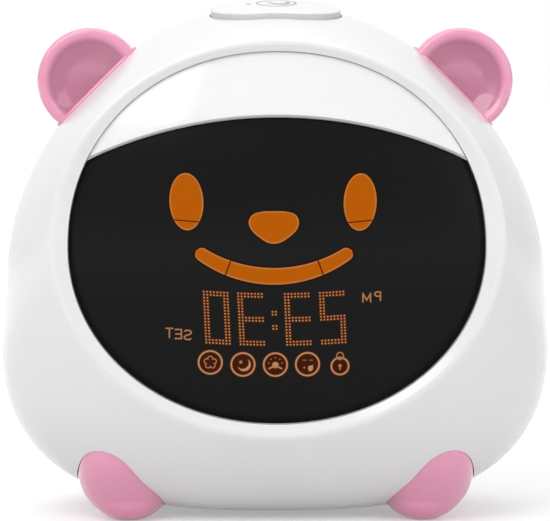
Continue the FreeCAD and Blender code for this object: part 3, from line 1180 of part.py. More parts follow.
shieldFront = ledgePlane + number("shieldGap")
shieldBack = value(displayBoardFront)
shieldOval = shrunk(ledge + number("shieldGap"))
shieldBlank = computed("ShieldBlank", ovalSolid(shieldFront, shieldBack, shieldOval))
shieldBody = common("ShieldBody", shieldBlank, arcPlug("ShieldEdge", "Size.browRadius - Size.shieldGap/2"))
cellDepth = "Size.displayDepth + 2"
cellFront = f"({displayBoardFront} - Size.displayDepth - 1)"

windows = []
lamps = []


def lamp(x, z):
    lamps.append(centredBlock(f"Lamp{len(lamps)}", x, f"{displayBoardFront} - Size.ledThickness", z,
                              "Size.ledLength", "Size.ledThickness", "Size.ledHeight"))


def boxWindow(x, z, width, height):
    windows.append(centredBlock(f"Window{len(windows)}", x, cellFront, z, width, cellDepth, height))
    lamp(x, z)


middleBar = "(Size.digitWidth - 2*Size.digitStroke - 2*Size.segmentRib)"
uprightBar = "(Size.digitHeight/2 - Size.digitStroke*1.5 - 2*Size.segmentRib)"
sideShift = "(Size.digitWidth - Size.digitStroke)/2"
levelShift = "(Size.digitHeight - Size.digitStroke)/2"
for pair in (-0.5, 0.5):
    for digit in (-0.5, 0.5):
        x = f"({pair}*Size.pairPitch + {digit}*Size.digitPitch)"
        for level in (-1, 0, 1):
            boxWindow(x, f"Size.digitMiddle + {level}*{levelShift}", middleBar, "Size.digitStroke")
        for column in (-1, 1):
            for half in (-0.5, 0.5):
                boxWindow(f"{x} + {column}*{sideShift}", f"Size.digitMiddle + {half}*{levelShift}",
                          "Size.digitStroke", uprightBar)
for half in (-1, 1):
    boxWindow("0", f"Size.digitMiddle + {half}*Size.digitHeight/8", "Size.digitStroke", "Size.digitStroke")
for index in range(5):
    x = f"{index - 2}*Size.iconPitch"
    windows.append(rod(f"Icon{index}", "Size.iconRadius", cellDepth, x, cellFront, "Size.iconHeight"))
    lamp(x, "Size.iconHeight")

faceNear = value(cellFront)
faceFar = faceNear + value(cellDepth)
eyeSize = (number("eyeHalfWidth"), number("eyeHalfHeight"), number("eyeHeight"))
for title, side in sides:
    eyeShape = ovalSolid(faceNear, faceFar, eyeSize)
    eyeShape.translate(Vector(side * number("eyeX"), 0, 0))
    windows.append(computed("Eye" + title, eyeShape))
    lamp(f"{side}*Size.eyeX", "Size.eyeHeight + Size.eyeHalfHeight/2")
    lamp(f"{side}*Size.eyeX", "Size.eyeHeight - Size.eyeHalfHeight/2")
noseSize = (number("noseHalfWidth"), number("noseHalfHeight"), number("noseHeight"))
windows.append(computed("Nose", ovalSolid(faceNear, faceFar, noseSize)))
lamp("0", "Size.noseHeight")

mouthCentre = "(Size.mouthBottom + Size.mouthRadius)"
smilePlace = (cellDepth, "0", cellFront, mouthCentre)
smileRing = cut("SmileRing", rod("SmileOuter", "Size.mouthRadius + Size.mouthBand/2", *smilePlace),
                rod("SmileInner", "Size.mouthRadius - Size.mouthBand/2", *smilePlace))
smileThird = number("mouthAngle") / 3
smileDrop = number("mouthRadius") + number("mouthBand")
smileHub = Vector(0, faceNear, value(mouthCentre))
ribAngle = math.degrees(number("mouthRib") / number("mouthRadius"))
for index in (-1, 0, 1):
    start = math.radians((index - 0.5) * smileThird + ribAngle / 2 - 90)
    stop = math.radians((index + 0.5) * smileThird - ribAngle / 2 - 90)
    rim = [smileHub + Vector(math.cos(turn), 0, math.sin(turn)) * (2 * smileDrop) for turn in (start, stop)]
    wedge = Part.Face(Part.makePolygon([smileHub, *rim, smileHub])).extrude(Vector(0, faceFar - faceNear, 0))
    windows.append(common(f"Smile{index + 1}", smileRing, computed(f"SmileWedge{index + 1}", wedge)))
    middle = math.radians(index * smileThird - 90)
    across = number("mouthRadius") * math.cos(middle)
    lamp(str(across), f"{mouthCentre} + {number('mouthRadius') * math.sin(middle)}")

piece(cut("DisplayMask", shieldBody, together("MaskWindows", windows)), "display_mask")
piece(together("DisplayLamps", lamps), "display_leds")

# Night light: a white tray behind the brow and its lamps

trayWall = number("trayWall")
lightTrayBack = value(lightBoardFront)
trayOval = shrunk(ledge + number("shieldGap"))
trayInnerOval = shrunk(ledge + number("shieldGap") + trayWall)
trayBlank = computed("LightTrayBlank", ovalSolid(shieldFront, lightTrayBack, trayOval))
trayCrescent = cut("LightTrayBody", trayBlank, arcPlug("LightTrayEdge", "Size.browRadius + Size.shieldGap/2"))
trayInner = computed("LightTrayInner", ovalSolid(shieldFront - 1, lightTrayBack - trayWall, trayInnerOval))
trayFloorRadius = "(Size.browRadius + Size.shieldGap/2 + Size.trayWall)"
trayPocket = cut("LightTrayPocket", trayInner, arcPlug("LightTrayFloor", trayFloorRadius))


def lampSpot(step):
    """A lamp's place, midway between the tray's floor and its roof."""
    x = step * number("lampPitch")
    floor = number("browHeight") - number("browRadius") + math.sqrt(value(trayFloorRadius) ** 2 - x ** 2)
    halfWidth, halfHeight, middle = trayInnerOval
    roof = middle + halfHeight * math.sqrt(1 - (x / halfWidth) ** 2)
    return str(x), str((floor + roof) / 2)


lampSpots = [lampSpot(index - 2.5) for index in range(6)]
lampHoles = [rod(f"LampHole{index}", "Size.lampRadius + Size.lampGap", "2*Size.trayWall", x,
                 f"{lightBoardFront} - 1.5*Size.trayWall", z) for index, (x, z) in enumerate(lampSpots)]
trayOpen = cut("LightTrayOpen", trayCrescent, trayPocket)
piece(cut("LightTray", trayOpen, together("LampHoles", lampHoles)), "light_tray")
bulbs = []
for index, (x, z) in enumerate(lampSpots):
    tipY = f"{lightBoardFront} - Size.lampStem"
    stem = rod(f"Bulb{index}Stem", "Size.lampRadius", "Size.lampStem", x, tipY, z)
    tip = doc.addObject("Part::Sphere", f"Bulb{index}Tip")
    bind(tip, {"Radius": "Size.lampRadius"})
    place(tip, x, tipY, z)
    bulbs.append(fuse(f"Bulb{index}", [stem, tip]))
piece(together("NightLightLamps", bulbs), "night_light_leds")

# Ribbon between the two boards

ribbonX = "-Size.eyeX"
ribbonZ = "(Size.mainBoardBottom + Size.ribbonRise)"
plugSize = ("Size.plugWidth", "Size.plugDepth", "Size.plugHeight")
connectors = [
    centredBlock("RibbonSocketFront", ribbonX, displayBoardBack, ribbonZ, *plugSize),
    centredBlock("RibbonSocketRear", ribbonX, f"{mainFront} - Size.plugDepth", ribbonZ, *plugSize),
]
piece(together("RibbonConnectors", connectors), "ribbon_connectors")
ribbonStart = f"({displayBoardBack} + Size.plugDepth)"
piece(centredBlock("Ribbon", ribbonX, ribbonStart, ribbonZ, "Size.ribbonWidth",
                   f"{mainFront} - Size.plugDepth - {ribbonStart}", "Size.ribbonThickness"), "display_ribbon")

# Check the model, then write one file for each piece

doc.recompute()
broken = [item.Name for item in doc.Objects if "Invalid" in item.State or "Error" in item.State]
broken += [item.Label for item in pieces if item.Shape.isNull() or not item.Shape.isValid()]
if broken:
    raise RuntimeError("These objects failed: " + ", ".join(broken))

os.makedirs("parts", exist_ok=True)
for item in pieces:
    item.Shape.exportStep(os.path.join("parts", item.Label + ".step"))
    print(f"{item.Label}: {len(item.Shape.Solids)} solid(s), {item.Shape.Volume / 1000:.2f} cm3")
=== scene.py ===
import math
import bmesh
import bpy
import numpy as np
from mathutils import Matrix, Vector


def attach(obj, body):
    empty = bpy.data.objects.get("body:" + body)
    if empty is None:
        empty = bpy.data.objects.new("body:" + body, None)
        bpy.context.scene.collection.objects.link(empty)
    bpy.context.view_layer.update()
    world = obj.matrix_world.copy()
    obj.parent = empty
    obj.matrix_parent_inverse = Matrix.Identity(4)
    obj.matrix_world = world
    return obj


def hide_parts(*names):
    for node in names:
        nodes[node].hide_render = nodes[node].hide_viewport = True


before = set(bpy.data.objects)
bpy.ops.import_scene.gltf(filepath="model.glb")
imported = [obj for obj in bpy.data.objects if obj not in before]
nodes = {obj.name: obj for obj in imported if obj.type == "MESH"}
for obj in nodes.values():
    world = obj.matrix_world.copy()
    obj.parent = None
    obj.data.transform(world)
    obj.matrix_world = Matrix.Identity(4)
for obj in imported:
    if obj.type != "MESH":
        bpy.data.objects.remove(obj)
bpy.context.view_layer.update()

mm = 0.001   # the shapes below are worked out in millimetres
print("frame loaded:", len(nodes), "nodes")

# mesh helpers

sharpFrom = math.radians(32)        # edges that turn by more than this stay sharp


# a new object in the scene around some data
def linked(name, data):
    thing = bpy.data.objects.new(name, data)
    bpy.context.scene.collection.objects.link(thing)
    return thing


# six times the volume inside is the sum of a . (b x c) over the triangles; below zero the faces point in
def outward(points, faces):
    solid = [list(face) for face in faces]
    fans = np.array([(face[0], face[k], face[k + 1]) for face in solid for k in range(1, len(face) - 1)])
    a, b, c = points[fans[:, 0]], points[fans[:, 1]], points[fans[:, 2]]
    if np.einsum("ij,ij->i", a - points[0], np.cross(b - points[0], c - points[0])).sum() < 0:
        solid = [face[::-1] for face in solid]
    return solid


# a closed mesh from points in mm, with its faces turned outwards
def addPiece(name, points, faces, body="case"):
    points = np.asarray(points, float)
    mesh = bpy.data.meshes.new(name)
    mesh.from_pydata((points * mm).tolist(), [], outward(points, faces))
    piece = linked(name, mesh)
    smoothen(piece)
    if body:
        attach(piece, body)
    return piece


def smoothen(piece):
    mesh = piece.data
    mesh.polygons.foreach_set("use_smooth", np.ones(len(mesh.polygons), bool))
    mesh.set_sharp_from_angle(angle=sharpFrom)
    mesh.update()


# the three numbers of every point or face of a mesh, such as its "co", "center" or "normal"
def readAll(items, kind):
    values = np.empty(len(items) * 3, np.float32)
    items.foreach_get(kind, values)
    return values.reshape(-1, 3)


# a number for every point of a piece, which a paint reads by its name
def addField(piece, name, values):
    piece.data.attributes.new(name, "FLOAT", "POINT").data.foreach_set("value", values.astype(np.float32))


# gives some faces of a piece a second paint
def repaint(piece, paint, chosen):
    piece.data.materials.append(paint)
    piece.data.polygons.foreach_set("material_index", chosen.astype(np.int32))


# rounds the edges that turn by more than some degrees
def soften(piece, width, segments, degrees):
    step = piece.modifiers.new("edge", "BEVEL")
    step.width, step.segments = width * mm, segments
    step.limit_method, step.angle_limit = "ANGLE", math.radians(degrees)


# quads between rings[i, j] and the next ring; j closes on itself, i closes if wrap, poles cap the ends
def skinOf(rings, wrap=False, firstPole=None, lastPole=None):
    rings = np.asarray(rings, float)
    rows, around = rings.shape[:2]
    i, j = np.meshgrid(np.arange(rows if wrap else rows - 1), np.arange(around), indexing="ij")
    nextI, nextJ = (i + 1) % rows, (j + 1) % around
    quads = np.stack([i * around + j, i * around + nextJ, nextI * around + nextJ, nextI * around + j], -1)
    faces = quads.reshape(-1, 4).tolist()
    points = rings.reshape(-1, 3)
    column = np.arange(around)
    for pole, row, forward in ((firstPole, 0, False), (lastPole, rows - 1, True)):
        if pole is not None:
            tip = np.full(around, len(points))
            edge = [row * around + column, row * around + (column + 1) % around]
            faces += np.stack([tip, *(edge if forward else edge[::-1])], -1).tolist()
            points = np.vstack([points, pole])
    return points, faces


# cuts the tools out of the piece for good, then drops them
def carve(piece, *tools):
    for tool in tools:
        step = piece.modifiers.new("carve", "BOOLEAN")
        step.operation, step.solver, step.object = "DIFFERENCE", "EXACT", tool
    bpy.context.view_layer.update()
    carved = bpy.data.meshes.new_from_object(piece.evaluated_get(bpy.context.evaluated_depsgraph_get()))
    piece.modifiers.clear()
    piece.data = carved
    for tool in tools:
        bpy.data.objects.remove(tool)
    smoothen(piece)


# a rectangle with round corners: each corner's middle plus radius * (cos, sin), walked at even steps from +x
def roundedRing(lengthX, lengthY, radius, steps=96):
    straightX, straightY = lengthX / 2 - radius, lengthY / 2 - radius
    turn = np.linspace(0, math.tau, 2 * 360 + 1)       # two points a degree
    x = np.sign(np.cos(turn).round(9)) * straightX + radius * np.cos(turn)
    y = np.sign(np.sin(turn).round(9)) * straightY + radius * np.sin(turn)
    return evenly(np.stack([x, y], -1), steps)


# points from their x, y and z, each an array or one number for all
def spread(x, y, z):
    return np.stack(np.broadcast_arrays(x, y, z), -1)


# angles of a whole turn at even steps
def turnsOf(steps):
    return np.arange(steps) / steps * math.tau


# the way walked along a line up to each of its points
def walkedAlong(line):
    return np.concatenate([[0], np.cumsum(np.linalg.norm(np.diff(line, axis=0), axis=1))])


# the closed line sampled again at even steps of its length
def evenly(line, steps):
    walked = walkedAlong(line)
    stops = np.linspace(0, walked[-1], steps, endpoint=False)
    return np.stack([np.interp(stops, walked, line[:, k]) for k in range(line.shape[1])], -1)


# rings along a Bezier line: the sum of C(n, k) t^k (1 - t)^(n - k) times corner ring k, without its two ends
def bezier(corners, steps):
    t = np.linspace(0, 1, steps + 2)[1:-1]
    order = len(corners) - 1
    weights = [math.comb(order, k) * t ** k * (1 - t) ** (order - k) for k in range(order + 1)]
    return [sum(w[s] * corner for w, corner in zip(weights, corners)) for s in range(steps)]


# finishes


mould = {
    "cloudScale": 38.0,         # the faint cloud in colour and gloss
    "cloudRange": (0.3, 0.7),
    "glossSpread": 0.15,
    "grainScale": 900.0,        # the moulding texture
    "grainDepth": 0.0002,
    "coatRoughness": 0.04,
}


def setInputs(node, values):
    for socket, amount in values.items():
        node.inputs[socket].default_value = amount


# a shader node of some kind, with its inputs set
def addNode(tree, kind, values=None):
    node = tree.nodes.new("ShaderNode" + kind)
    setInputs(node, values or {})
    return node


# a new material with its node tree and shader
def newPaint(name):
    paint = bpy.data.materials.new(name)
    paint.use_nodes = True
    return paint, paint.node_tree, paint.node_tree.nodes["Principled BSDF"]


# moulded plastic: a faint cloud in colour and gloss, and a shallow moulding texture
def plastic(name, colour, roughness=0.18, coat=0.0, grain=0.02, mottle=0.02, extra=None):
    paint, tree, shader = newPaint(name)
    link = tree.links.new
    place = addNode(tree, "TexCoord")
    cloud = addNode(tree, "TexNoise", {"Scale": mould["cloudScale"], "Detail": 3.0})
    link(place.outputs["Object"], cloud.inputs["Vector"])
    ramp = addNode(tree, "ValToRGB")
    for stop, position, change in zip(ramp.color_ramp.elements, mould["cloudRange"], (-mottle, mottle)):
        stop.position = position
        stop.color = (*[min(max(c * (1 + change), 0), 1) for c in colour], 1)
    link(cloud.outputs["Fac"], ramp.inputs["Fac"])
    link(ramp.outputs["Color"], shader.inputs["Base Color"])
    fine = addNode(tree, "TexNoise", {"Scale": mould["grainScale"], "Detail": 2.0})
    link(place.outputs["Object"], fine.inputs["Vector"])
    low, high = (roughness * (1 + change) for change in (-mould["glossSpread"], mould["glossSpread"]))
    gloss = addNode(tree, "MapRange", {"To Min": low, "To Max": high})
    link(cloud.outputs["Fac"], gloss.inputs["Value"])
    link(gloss.outputs["Result"], shader.inputs["Roughness"])
    bump = addNode(tree, "Bump", {"Strength": grain, "Distance": mould["grainDepth"]})
    link(fine.outputs["Fac"], bump.inputs["Height"])
    link(bump.outputs["Normal"], shader.inputs["Normal"])
    setInputs(shader, {"Coat Weight": coat, "Coat Roughness": mould["coatRoughness"], **(extra or {})})
    return paint


# light from inside: the colour runs from edge to core by how deep a point lies within its shape, in mm
def glow(name, edge, core, reach):
    paint = plastic(name, (0.004, 0.003, 0.002), 0.3, grain=0.004,
                    extra={"Specular IOR Level": 0.0, "Emission Strength": 1.0})
    tree = paint.node_tree
    depth = addNode(tree, "Attribute")
    depth.attribute_name = "depth"
    span = addNode(tree, "MapRange", {"From Max": reach})
    tree.links.new(depth.outputs["Fac"], span.inputs["Value"])
    ramp = addNode(tree, "ValToRGB")
    ramp.color_ramp.interpolation = "EASE"
    for stop, colour in zip(ramp.color_ramp.elements, (edge, core)):
        stop.color = (*colour, 1)
    tree.links.new(span.outputs["Result"], ramp.inputs["Fac"])
    tree.links.new(ramp.outputs["Color"], tree.nodes["Principled BSDF"].inputs["Emission Color"])
    return paint


finishes = {
    "case_white": plastic("caseWhite", (0.79, 0.79, 0.79), 0.20, coat=0.25, mottle=0.008),
    "dark_lens": plastic("smokedLens", (0.0045, 0.0045, 0.0045), 0.22, mottle=0.05, grain=0.004,
                         extra={"Specular IOR Level": 0.09}),
    "night_light_white": plastic("milkyDiffuser", (0.84, 0.84, 0.84), 0.12, coat=0.35, mottle=0.008,
                                 extra={"Subsurface Weight": 0.15, "Subsurface Scale": 0.002}),
    "pink_plastic": plastic("pinkPlastic", (0.80, 0.315, 0.475), 0.1, coat=0.4, mottle=0.015),
    "button_white": plastic("satinWhite", (0.74, 0.74, 0.74), 0.30, mottle=0.01, grain=0.05),
    "inner_white": plastic("innerWhite", (0.72, 0.72, 0.70), 0.45, grain=0.08),
    "screw_steel": plastic("zincScrew", (0.42, 0.42, 0.43), 0.32, extra={"Metallic": 1.0}, mottle=0.06),
    "contact_steel": plastic("nickelContact", (0.62, 0.60, 0.56), 0.22, extra={"Metallic": 1.0}, mottle=0.05),
    "speaker_metal": plastic("blackBasket", (0.03, 0.03, 0.03), 0.42, grain=0.1, mottle=0.1),
    "circuit_board": plastic("greenBoard", (0.02, 0.14, 0.05), 0.35, mottle=0.15),
    "switch_black": plastic("blackMoulding", (0.02, 0.02, 0.02), 0.4, mottle=0.1),
    "cell_jacket": plastic("cellJacket", (0.06, 0.06, 0.07), 0.3, mottle=0.1),
    "led_amber": plastic("amberLamp", (0.75, 0.28, 0.02), 0.15),
    "led_white": plastic("clearLamp", (0.82, 0.82, 0.76), 0.12),
    "ribbon_grey": plastic("greyRibbon", (0.42, 0.42, 0.44), 0.5, mottle=0.06),
}


# gives a piece its finish and hides the CAD nodes it stands for
def finish(piece, slotName, *replaced, paint=None):
    piece.data.materials.clear()
    piece.data.materials.append(paint or finishes[slotName])
    if replaced:
        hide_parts(*replaced)
    return piece


# the head shape that the case, feet and button follow

headShape = {
    "full": (65.0, 120.9, 47.3, 1.0, 2.0, 2.85),    # half width, top, waist, bottom, power above and below
    "ring": (51.9, 112.7, 67.3, 21.9, 2.0, 2.0),
    "panel": (48.0, 103.0, 58.0, 17.0, 2.3, 2.7),
    "frontDepth": 34.0,
    "rearDepth": 36.5,
    "frontRoll": 2.4,
    "rearRoll": 2.6,
    "wall": 2.4,
    "seam": 0.22,       # small V where the two halves meet
    "around": 420,      # points on each outline
    "fine": 2881,       # points on an outline before it is sampled at even steps
}


# the six outline numbers: full + (ring - full) * (-y / frontDepth)^roll ahead of the seam, the like behind
def sectionAt(y):
    y = np.asarray(y, float)
    ahead = (np.clip(-y, 0, None) / headShape["frontDepth"]) ** headShape["frontRoll"]
    behind = (np.clip(y, 0, None) / headShape["rearDepth"]) ** headShape["rearRoll"]
    full, ring, panel = (np.array(headShape[key]) for key in ("full", "ring", "panel"))
    return full + (ring - full) * ahead[..., None] + (panel - full) * behind[..., None]


# |x/a|^n + |z/h|^n = 1 with its own h and n above and below the waist, from the top, at even steps
def outlineRing(y, section, grow=0.0, around=None):
    halfWidth, top, waist, bottom, topPower, bottomPower = section
    turn = np.linspace(0, math.tau, headShape["fine"])
    across, up = np.sin(turn).round(12), np.cos(turn).round(12)
    power = np.where(up >= 0, topPower, bottomPower)
    height = np.where(up >= 0, top + grow - waist, waist - bottom + grow)
    x = (halfWidth + grow) * np.sign(across) * np.abs(across) ** (2 / power)
    z = waist + height * np.sign(up) * np.abs(up) ** (2 / power)
    ring = evenly(np.stack([x, z], -1), around or headShape["around"])
    return np.insert(ring, 1, float(y), axis=1)


def headRing(y, grow=0.0):
    return outlineRing(y, sectionAt(y), grow)


# height of the head's upper surface over a point of the table, from the same formula solved for z
def crownAt(x, y, grow=0.0):
    section = sectionAt(y)
    halfWidth, top, waist, power = section[..., 0], section[..., 1], section[..., 2], section[..., 4]
    share = np.clip(np.abs(x) / (halfWidth + grow), 0, 1)
    return waist + (top + grow - waist) * (1 - share ** power) ** (1 / power)


# how far back the head reaches over (x, z), found by halving the depth that still holds the point
def backAt(x, z):
    low, high = 0.0, headShape["rearDepth"]
    for _ in range(40):
        y = (low + high) / 2
        halfWidth, top, waist, bottom, topPower, bottomPower = sectionAt(y)
        power, height = (topPower, top - waist) if z > waist else (bottomPower, waist - bottom)
        inside = (abs(x) / halfWidth) ** power + (abs(z - waist) / height) ** power < 1
        low, high = (y, high) if inside else (low, y)
    return low


# case halves

window = {
    "ringCrest": (50.9, 111.9, 66.6, 22.6, 2.04, 2.01),      # the six outline numbers
    "opening": (47.7, 110.2, 65.55, 25.0, 2.11, 2.05),
    "openingPlane": -33.1,
    "ledgePlane": -29.0,
    "ledgeWidth": 1.6,
    "frameBack": -27.0,
}
openings = {
    "snooze": (30.2, 39.4, -3.4, 11.5, 0.3),         # length, width, middle in y, corner, gap
    "earSeat": (41.8, 101.3, 45.0),                  # x, z and lean of an ear's seat
    "earBlock": 50.0,                                # size of the block that cuts a seat
    "button": (10.0, 6.0, 0.3),                      # length, height and gap of a setting button's opening
    "buttonSpots": {"time": (-26, 92), "alarm": (-26, 82), "light": (-26, 72),
                    "plus": (26, 92), "minus": (26, 82)},
    "lockSlot": (26.0, 72.0, 8.2, 4.2, 0.2),         # x, z, length, height, corner
    "usb": (40.0, 62.0, 8.8, 3.9, 0.6),
    "door": (0.0, 46.0, 67.6, 36.6, 2.8),
    "bay": (0.0, 46.0, 50.3, 32.4, 0.3),
    "screwWells": ((45.5, 88.0), (45.5, 42.0)),
    "well": (3.1, 4.2, 12.0),                        # bore, outer radius and depth of the floor
    "wellSteps": 48,
    "grille": (83.5, 1.0, 3.6),                      # middle height, hole radius, pitch of the rings
    "crownCut": (100.0, 130.0),                      # heights between which the crown is cut open
    # depths between which each kind of plug reaches
    "plugs": {"rear": (30.0, 44.0), "door": (34.5, 44.0), "bay": (20.0, 35.5), "well": (8.0, 44.0)},
}


# leans points from an ear's own frame onto its seat: x' = x cos a + z sin a, z' = z cos a - x sin a
def onSeat(points, side):
    x, z, leaned = openings["earSeat"]
    turn = math.radians(leaned * side)
    return spread(points[:, 0] * math.cos(turn) + points[:, 2] * math.sin(turn) + side * x, points[:, 1],
                  -points[:, 0] * math.sin(turn) + points[:, 2] * math.cos(turn) + z)


# a block that stands over an ear's flat seat, or hangs under it when its base is lower
def earBlock(side, base=0.0):
    size = openings["earBlock"]
    square = ((-size, -size), (size, -size), (size, size), (-size, size))
    corners = np.array([[a, b, c] for c in (base, base + size) for a, b in square])
    faces = [[0, 3, 2, 1], [4, 5, 6, 7], [0, 1, 5, 4], [1, 2, 6, 5], [2, 3, 7, 6], [3, 0, 4, 7]]
    return addPiece("earBlock", onSeat(corners, side), faces, body=None)


# upright plug for the snooze opening: a rounded rectangle from inside the crown upwards
def columnPlug():
    length, width, middle, corner, gap = openings["snooze"]
    ring = roundedRing(length + 2 * gap, width + 2 * gap, corner + gap, 160)
    low, high = openings["crownCut"]
    rings = [spread(ring[:, 0], ring[:, 1] + middle, z) for z in (low, high)]
    skin = skinOf(rings, firstPole=(0, middle, low), lastPole=(0, middle, high))
    return addPiece("columnPlug", *skin, body=None)


shellShape = {
    "sideRings": (44, 40),          # rings along the side of the front and of the rear half
    "sideFrom": 0.012,              # where on its quarter turn the first of them stands
    "sideTo": (0.984, 0.982),       # share of the depth where each side gives way to the rounded edge
    "edgeRings": (9, 7),
    "slope": (0.2, 0.97),           # shares of the way from the window ring's crest down to its opening
    "flatFrom": 0.022,              # share of the way in where the rear panel's flat begins
    "panelMiddle": 58.0,
    "apart": 0.01,                  # each half stays this far from the plane between them
    "wallDepths": ((-27, -24, -20, -15, -10, -5), (6, 12, 18, 24, 29)),
}


# depths of a half's side rings: to * sin(quarter turn), close together where the side turns in
def sideDepths(to, half):
    quarter = np.linspace(shellShape["sideFrom"], 1, shellShape["sideRings"][half]) * math.pi / 2
    return to * np.sin(quarter) * shellShape["sideTo"][half]


seam, wall, apart = headShape["seam"], headShape["wall"], shellShape["apart"]
frontTo = -headShape["frontDepth"]
rim = headRing(frontTo)
crest = outlineRing(frontTo, window["ringCrest"])
opening = outlineRing(window["openingPlane"], window["opening"])
rings = [headRing(-apart, -seam)] + [headRing(y) for y in sideDepths(frontTo, 0)]
slopeStart, slopeEnd = (crest + (opening - crest) * share for share in shellShape["slope"])
rings += bezier([rings[-1], rim, crest, slopeStart], shellShape["edgeRings"][0]) + [slopeStart]
rings += [slopeStart + (slopeEnd - slopeStart) * share for share in (0.3, 0.65, 1.0)]
rings += [opening + (0, 0.25, 0), outlineRing(window["ledgePlane"], window["opening"])]
rings += [outlineRing(window[depth], window["opening"], -window["ledgeWidth"])
          for depth in ("ledgePlane", "frameBack")]
rings += [headRing(y, -wall) for y in (*shellShape["wallDepths"][0], -apart)]
frontShell = addPiece("frontShell", *skinOf(rings, wrap=True))
carve(frontShell, earBlock(-1), earBlock(1), columnPlug())
finish(frontShell, "case_white", "front_shell")
print("front shell:", len(frontShell.data.polygons), "faces")

rearTo = headShape["rearDepth"]
panelMiddle = np.array([0, rearTo, shellShape["panelMiddle"]])
behind = headRing(rearTo)
flat = behind + (panelMiddle - behind) * shellShape["flatFrom"]
depths = sideDepths(rearTo, 1)
rings = [flat + (panelMiddle - flat) * share for share in (0.95, 0.7, 0.45, 0.2, 0.05)] + [flat]
rings += bezier([flat, behind, headRing(depths[-1])], shellShape["edgeRings"][1])
rings += [headRing(y) for y in depths[::-1]] + [headRing(apart, -seam)]
innerTo = rearTo - wall
inside = headRing(innerTo, -wall)
innerMiddle = panelMiddle - (0, wall, 0)
rings += [headRing(y, -wall) for y in (apart, *shellShape["wallDepths"][1], innerTo)]
rings += [inside + (innerMiddle - inside) * share for share in (0.3, 0.7, 0.95)]
rearShell = addPiece("rearShell", *skinOf(rings, firstPole=panelMiddle, lastPole=innerMiddle))


# a rounded bar along y, between two depths, that cuts an opening in the rear half
def rearPlug(x, z, lengthX, lengthZ, radius, depths="rear", steps=72):
    outline = roundedRing(lengthX, lengthZ, radius, steps) + (x, z)
    middle = outline.mean(0)
    rings, poles = ([np.insert(line, 1, y, axis=-1) for y in openings["plugs"][depths]]
                    for line in (outline, middle))
    return addPiece("rearPlug", *skinOf(rings, firstPole=poles[0], lastPole=poles[1]), body=None)


# several separate plugs as one mesh
def joined(name, parts):
    whole = bmesh.new()
    for part in parts:
        whole.from_mesh(part.data)
        bpy.data.objects.remove(part)
    mesh = bpy.data.meshes.new(name)
    whole.to_mesh(mesh)
    whole.free()
    return linked(name, mesh)


length, height, gap = openings["button"]
plugs = [rearPlug(x, z, length + 2 * gap, height + 2 * gap, height / 2 + gap)
         for x, z in openings["buttonSpots"].values()]
plugs += [rearPlug(*openings["lockSlot"]), rearPlug(*openings["usb"]), rearPlug(*openings["door"], "door")]
bayPlug = rearPlug(*openings["bay"], "bay")
middle, radius, pitch = openings["grille"]
for ring, count in ((0, 1), (1, 6), (2, 12)):
    for turn in np.arange(count) * math.tau / count:
        plugs.append(rearPlug(pitch * ring * math.cos(turn), middle + pitch * ring * math.sin(turn),
                              2 * radius, 2 * radius, radius, steps=24))
bore, outer, floorDepth = openings["well"]
wellSteps = openings["wellSteps"]
wellSpots = [(side * x, z) for side in (-1, 1) for x, z in openings["screwWells"]]
wells = [rearPlug(x, z, 2 * bore, 2 * bore, bore, "well", wellSteps) for x, z in wellSpots]
carve(rearShell, earBlock(-1), earBlock(1), columnPlug(), joined("plugs", plugs), bayPlug,
      joined("wells", wells))
finish(rearShell, "case_white", "rear_shell")
print("rear shell:", len(rearShell.data.polygons), "faces")


# a screw's well: one outline of radius and depth turned about the screw's line
def makeWell(name, x, z):
    back = backAt(abs(x) + outer, z) - wall * 0.7
    under, shank = floorDepth - 2.0, 1.5        # underside of the well's floor, radius of the hole in it
    turn = turnsOf(wellSteps)
    profile = ((bore, back), (outer, back), (outer, under), (shank, under), (shank, floorDepth),
               (bore, floorDepth))
    rings = [spread(x + r * np.cos(turn), y, z + r * np.sin(turn)) for r, y in profile]
    finish(addPiece(name, *skinOf(rings, wrap=True)), "case_white", "rear_shell")


for index, (x, z) in enumerate(wellSpots):
    makeWell("screwWell" + "ABCD"[index], x, z)
print("screw wells done")

# lens and brow

lensShape = {
    "oval": (47.58, 110.08, 65.55, 25.12, 2.11, 2.05),      # the six outline numbers
    "dome": (47.9, 42.35, 67.75),       # half width, half height and middle of the oval under the ball cap
    "plane": -31.0,
    "rise": 6.4,
    "thickness": 2.0,
    "browProud": 1.3,
    "arc": (100.0, -4.8),       # radius and centre height of the brow's lower edge
    "arcGap": 0.06,
    "tipDepth": 0.6,            # how far behind the brow's face its two tips stand
    "tipCut": 0.02,             # the last rings stop this far from the tips
    "lowerGap": 0.15,           # the lens's oval stops this far under the brow's arc
    "heart": 62.0,              # height from which the lens's rings spread
    "seat": 0.01,               # lens and brow stay this far from the ledge they lie on
    "lip": (1.1, 1.0),          # how far the brow's lower edge turns back, and over what height
    "lipSteps": 7,
    "faceSteps": 12,
    # grey painted on the brow's turned-under lower lip: painted shade on its underside
    "lipShadeGrey": (0.50, 0.50, 0.50),
}


# depth of a ball cap over an oval, R = (h^2 + rise^2) / (2 rise), stretched across to the oval's width
def domeAt(x, z, plane):
    halfWidth, halfHeight, middle = lensShape["dome"]
    rise = lensShape["rise"]
    radius = (halfHeight ** 2 + rise ** 2) / (2 * rise)
    reach = (x * halfHeight / halfWidth) ** 2 + (z - middle) ** 2
    return plane - np.sqrt(np.clip(radius ** 2 - reach, 0, None)) + (radius - rise)


# height of the brow's lower edge: centre + sqrt(R^2 - x^2)
def arcTop(x, radius):
    return lensShape["arc"][1] + np.sqrt(radius ** 2 - x ** 2)


# height of the oval's upper half: waist + h (1 - |x/a|^n)^(1/n)
def ovalTop(x):
    halfWidth, top, waist, _, power, _ = lensShape["oval"]
    return waist + (top - waist) * (1 - np.abs(x / halfWidth) ** power) ** (1 / power)


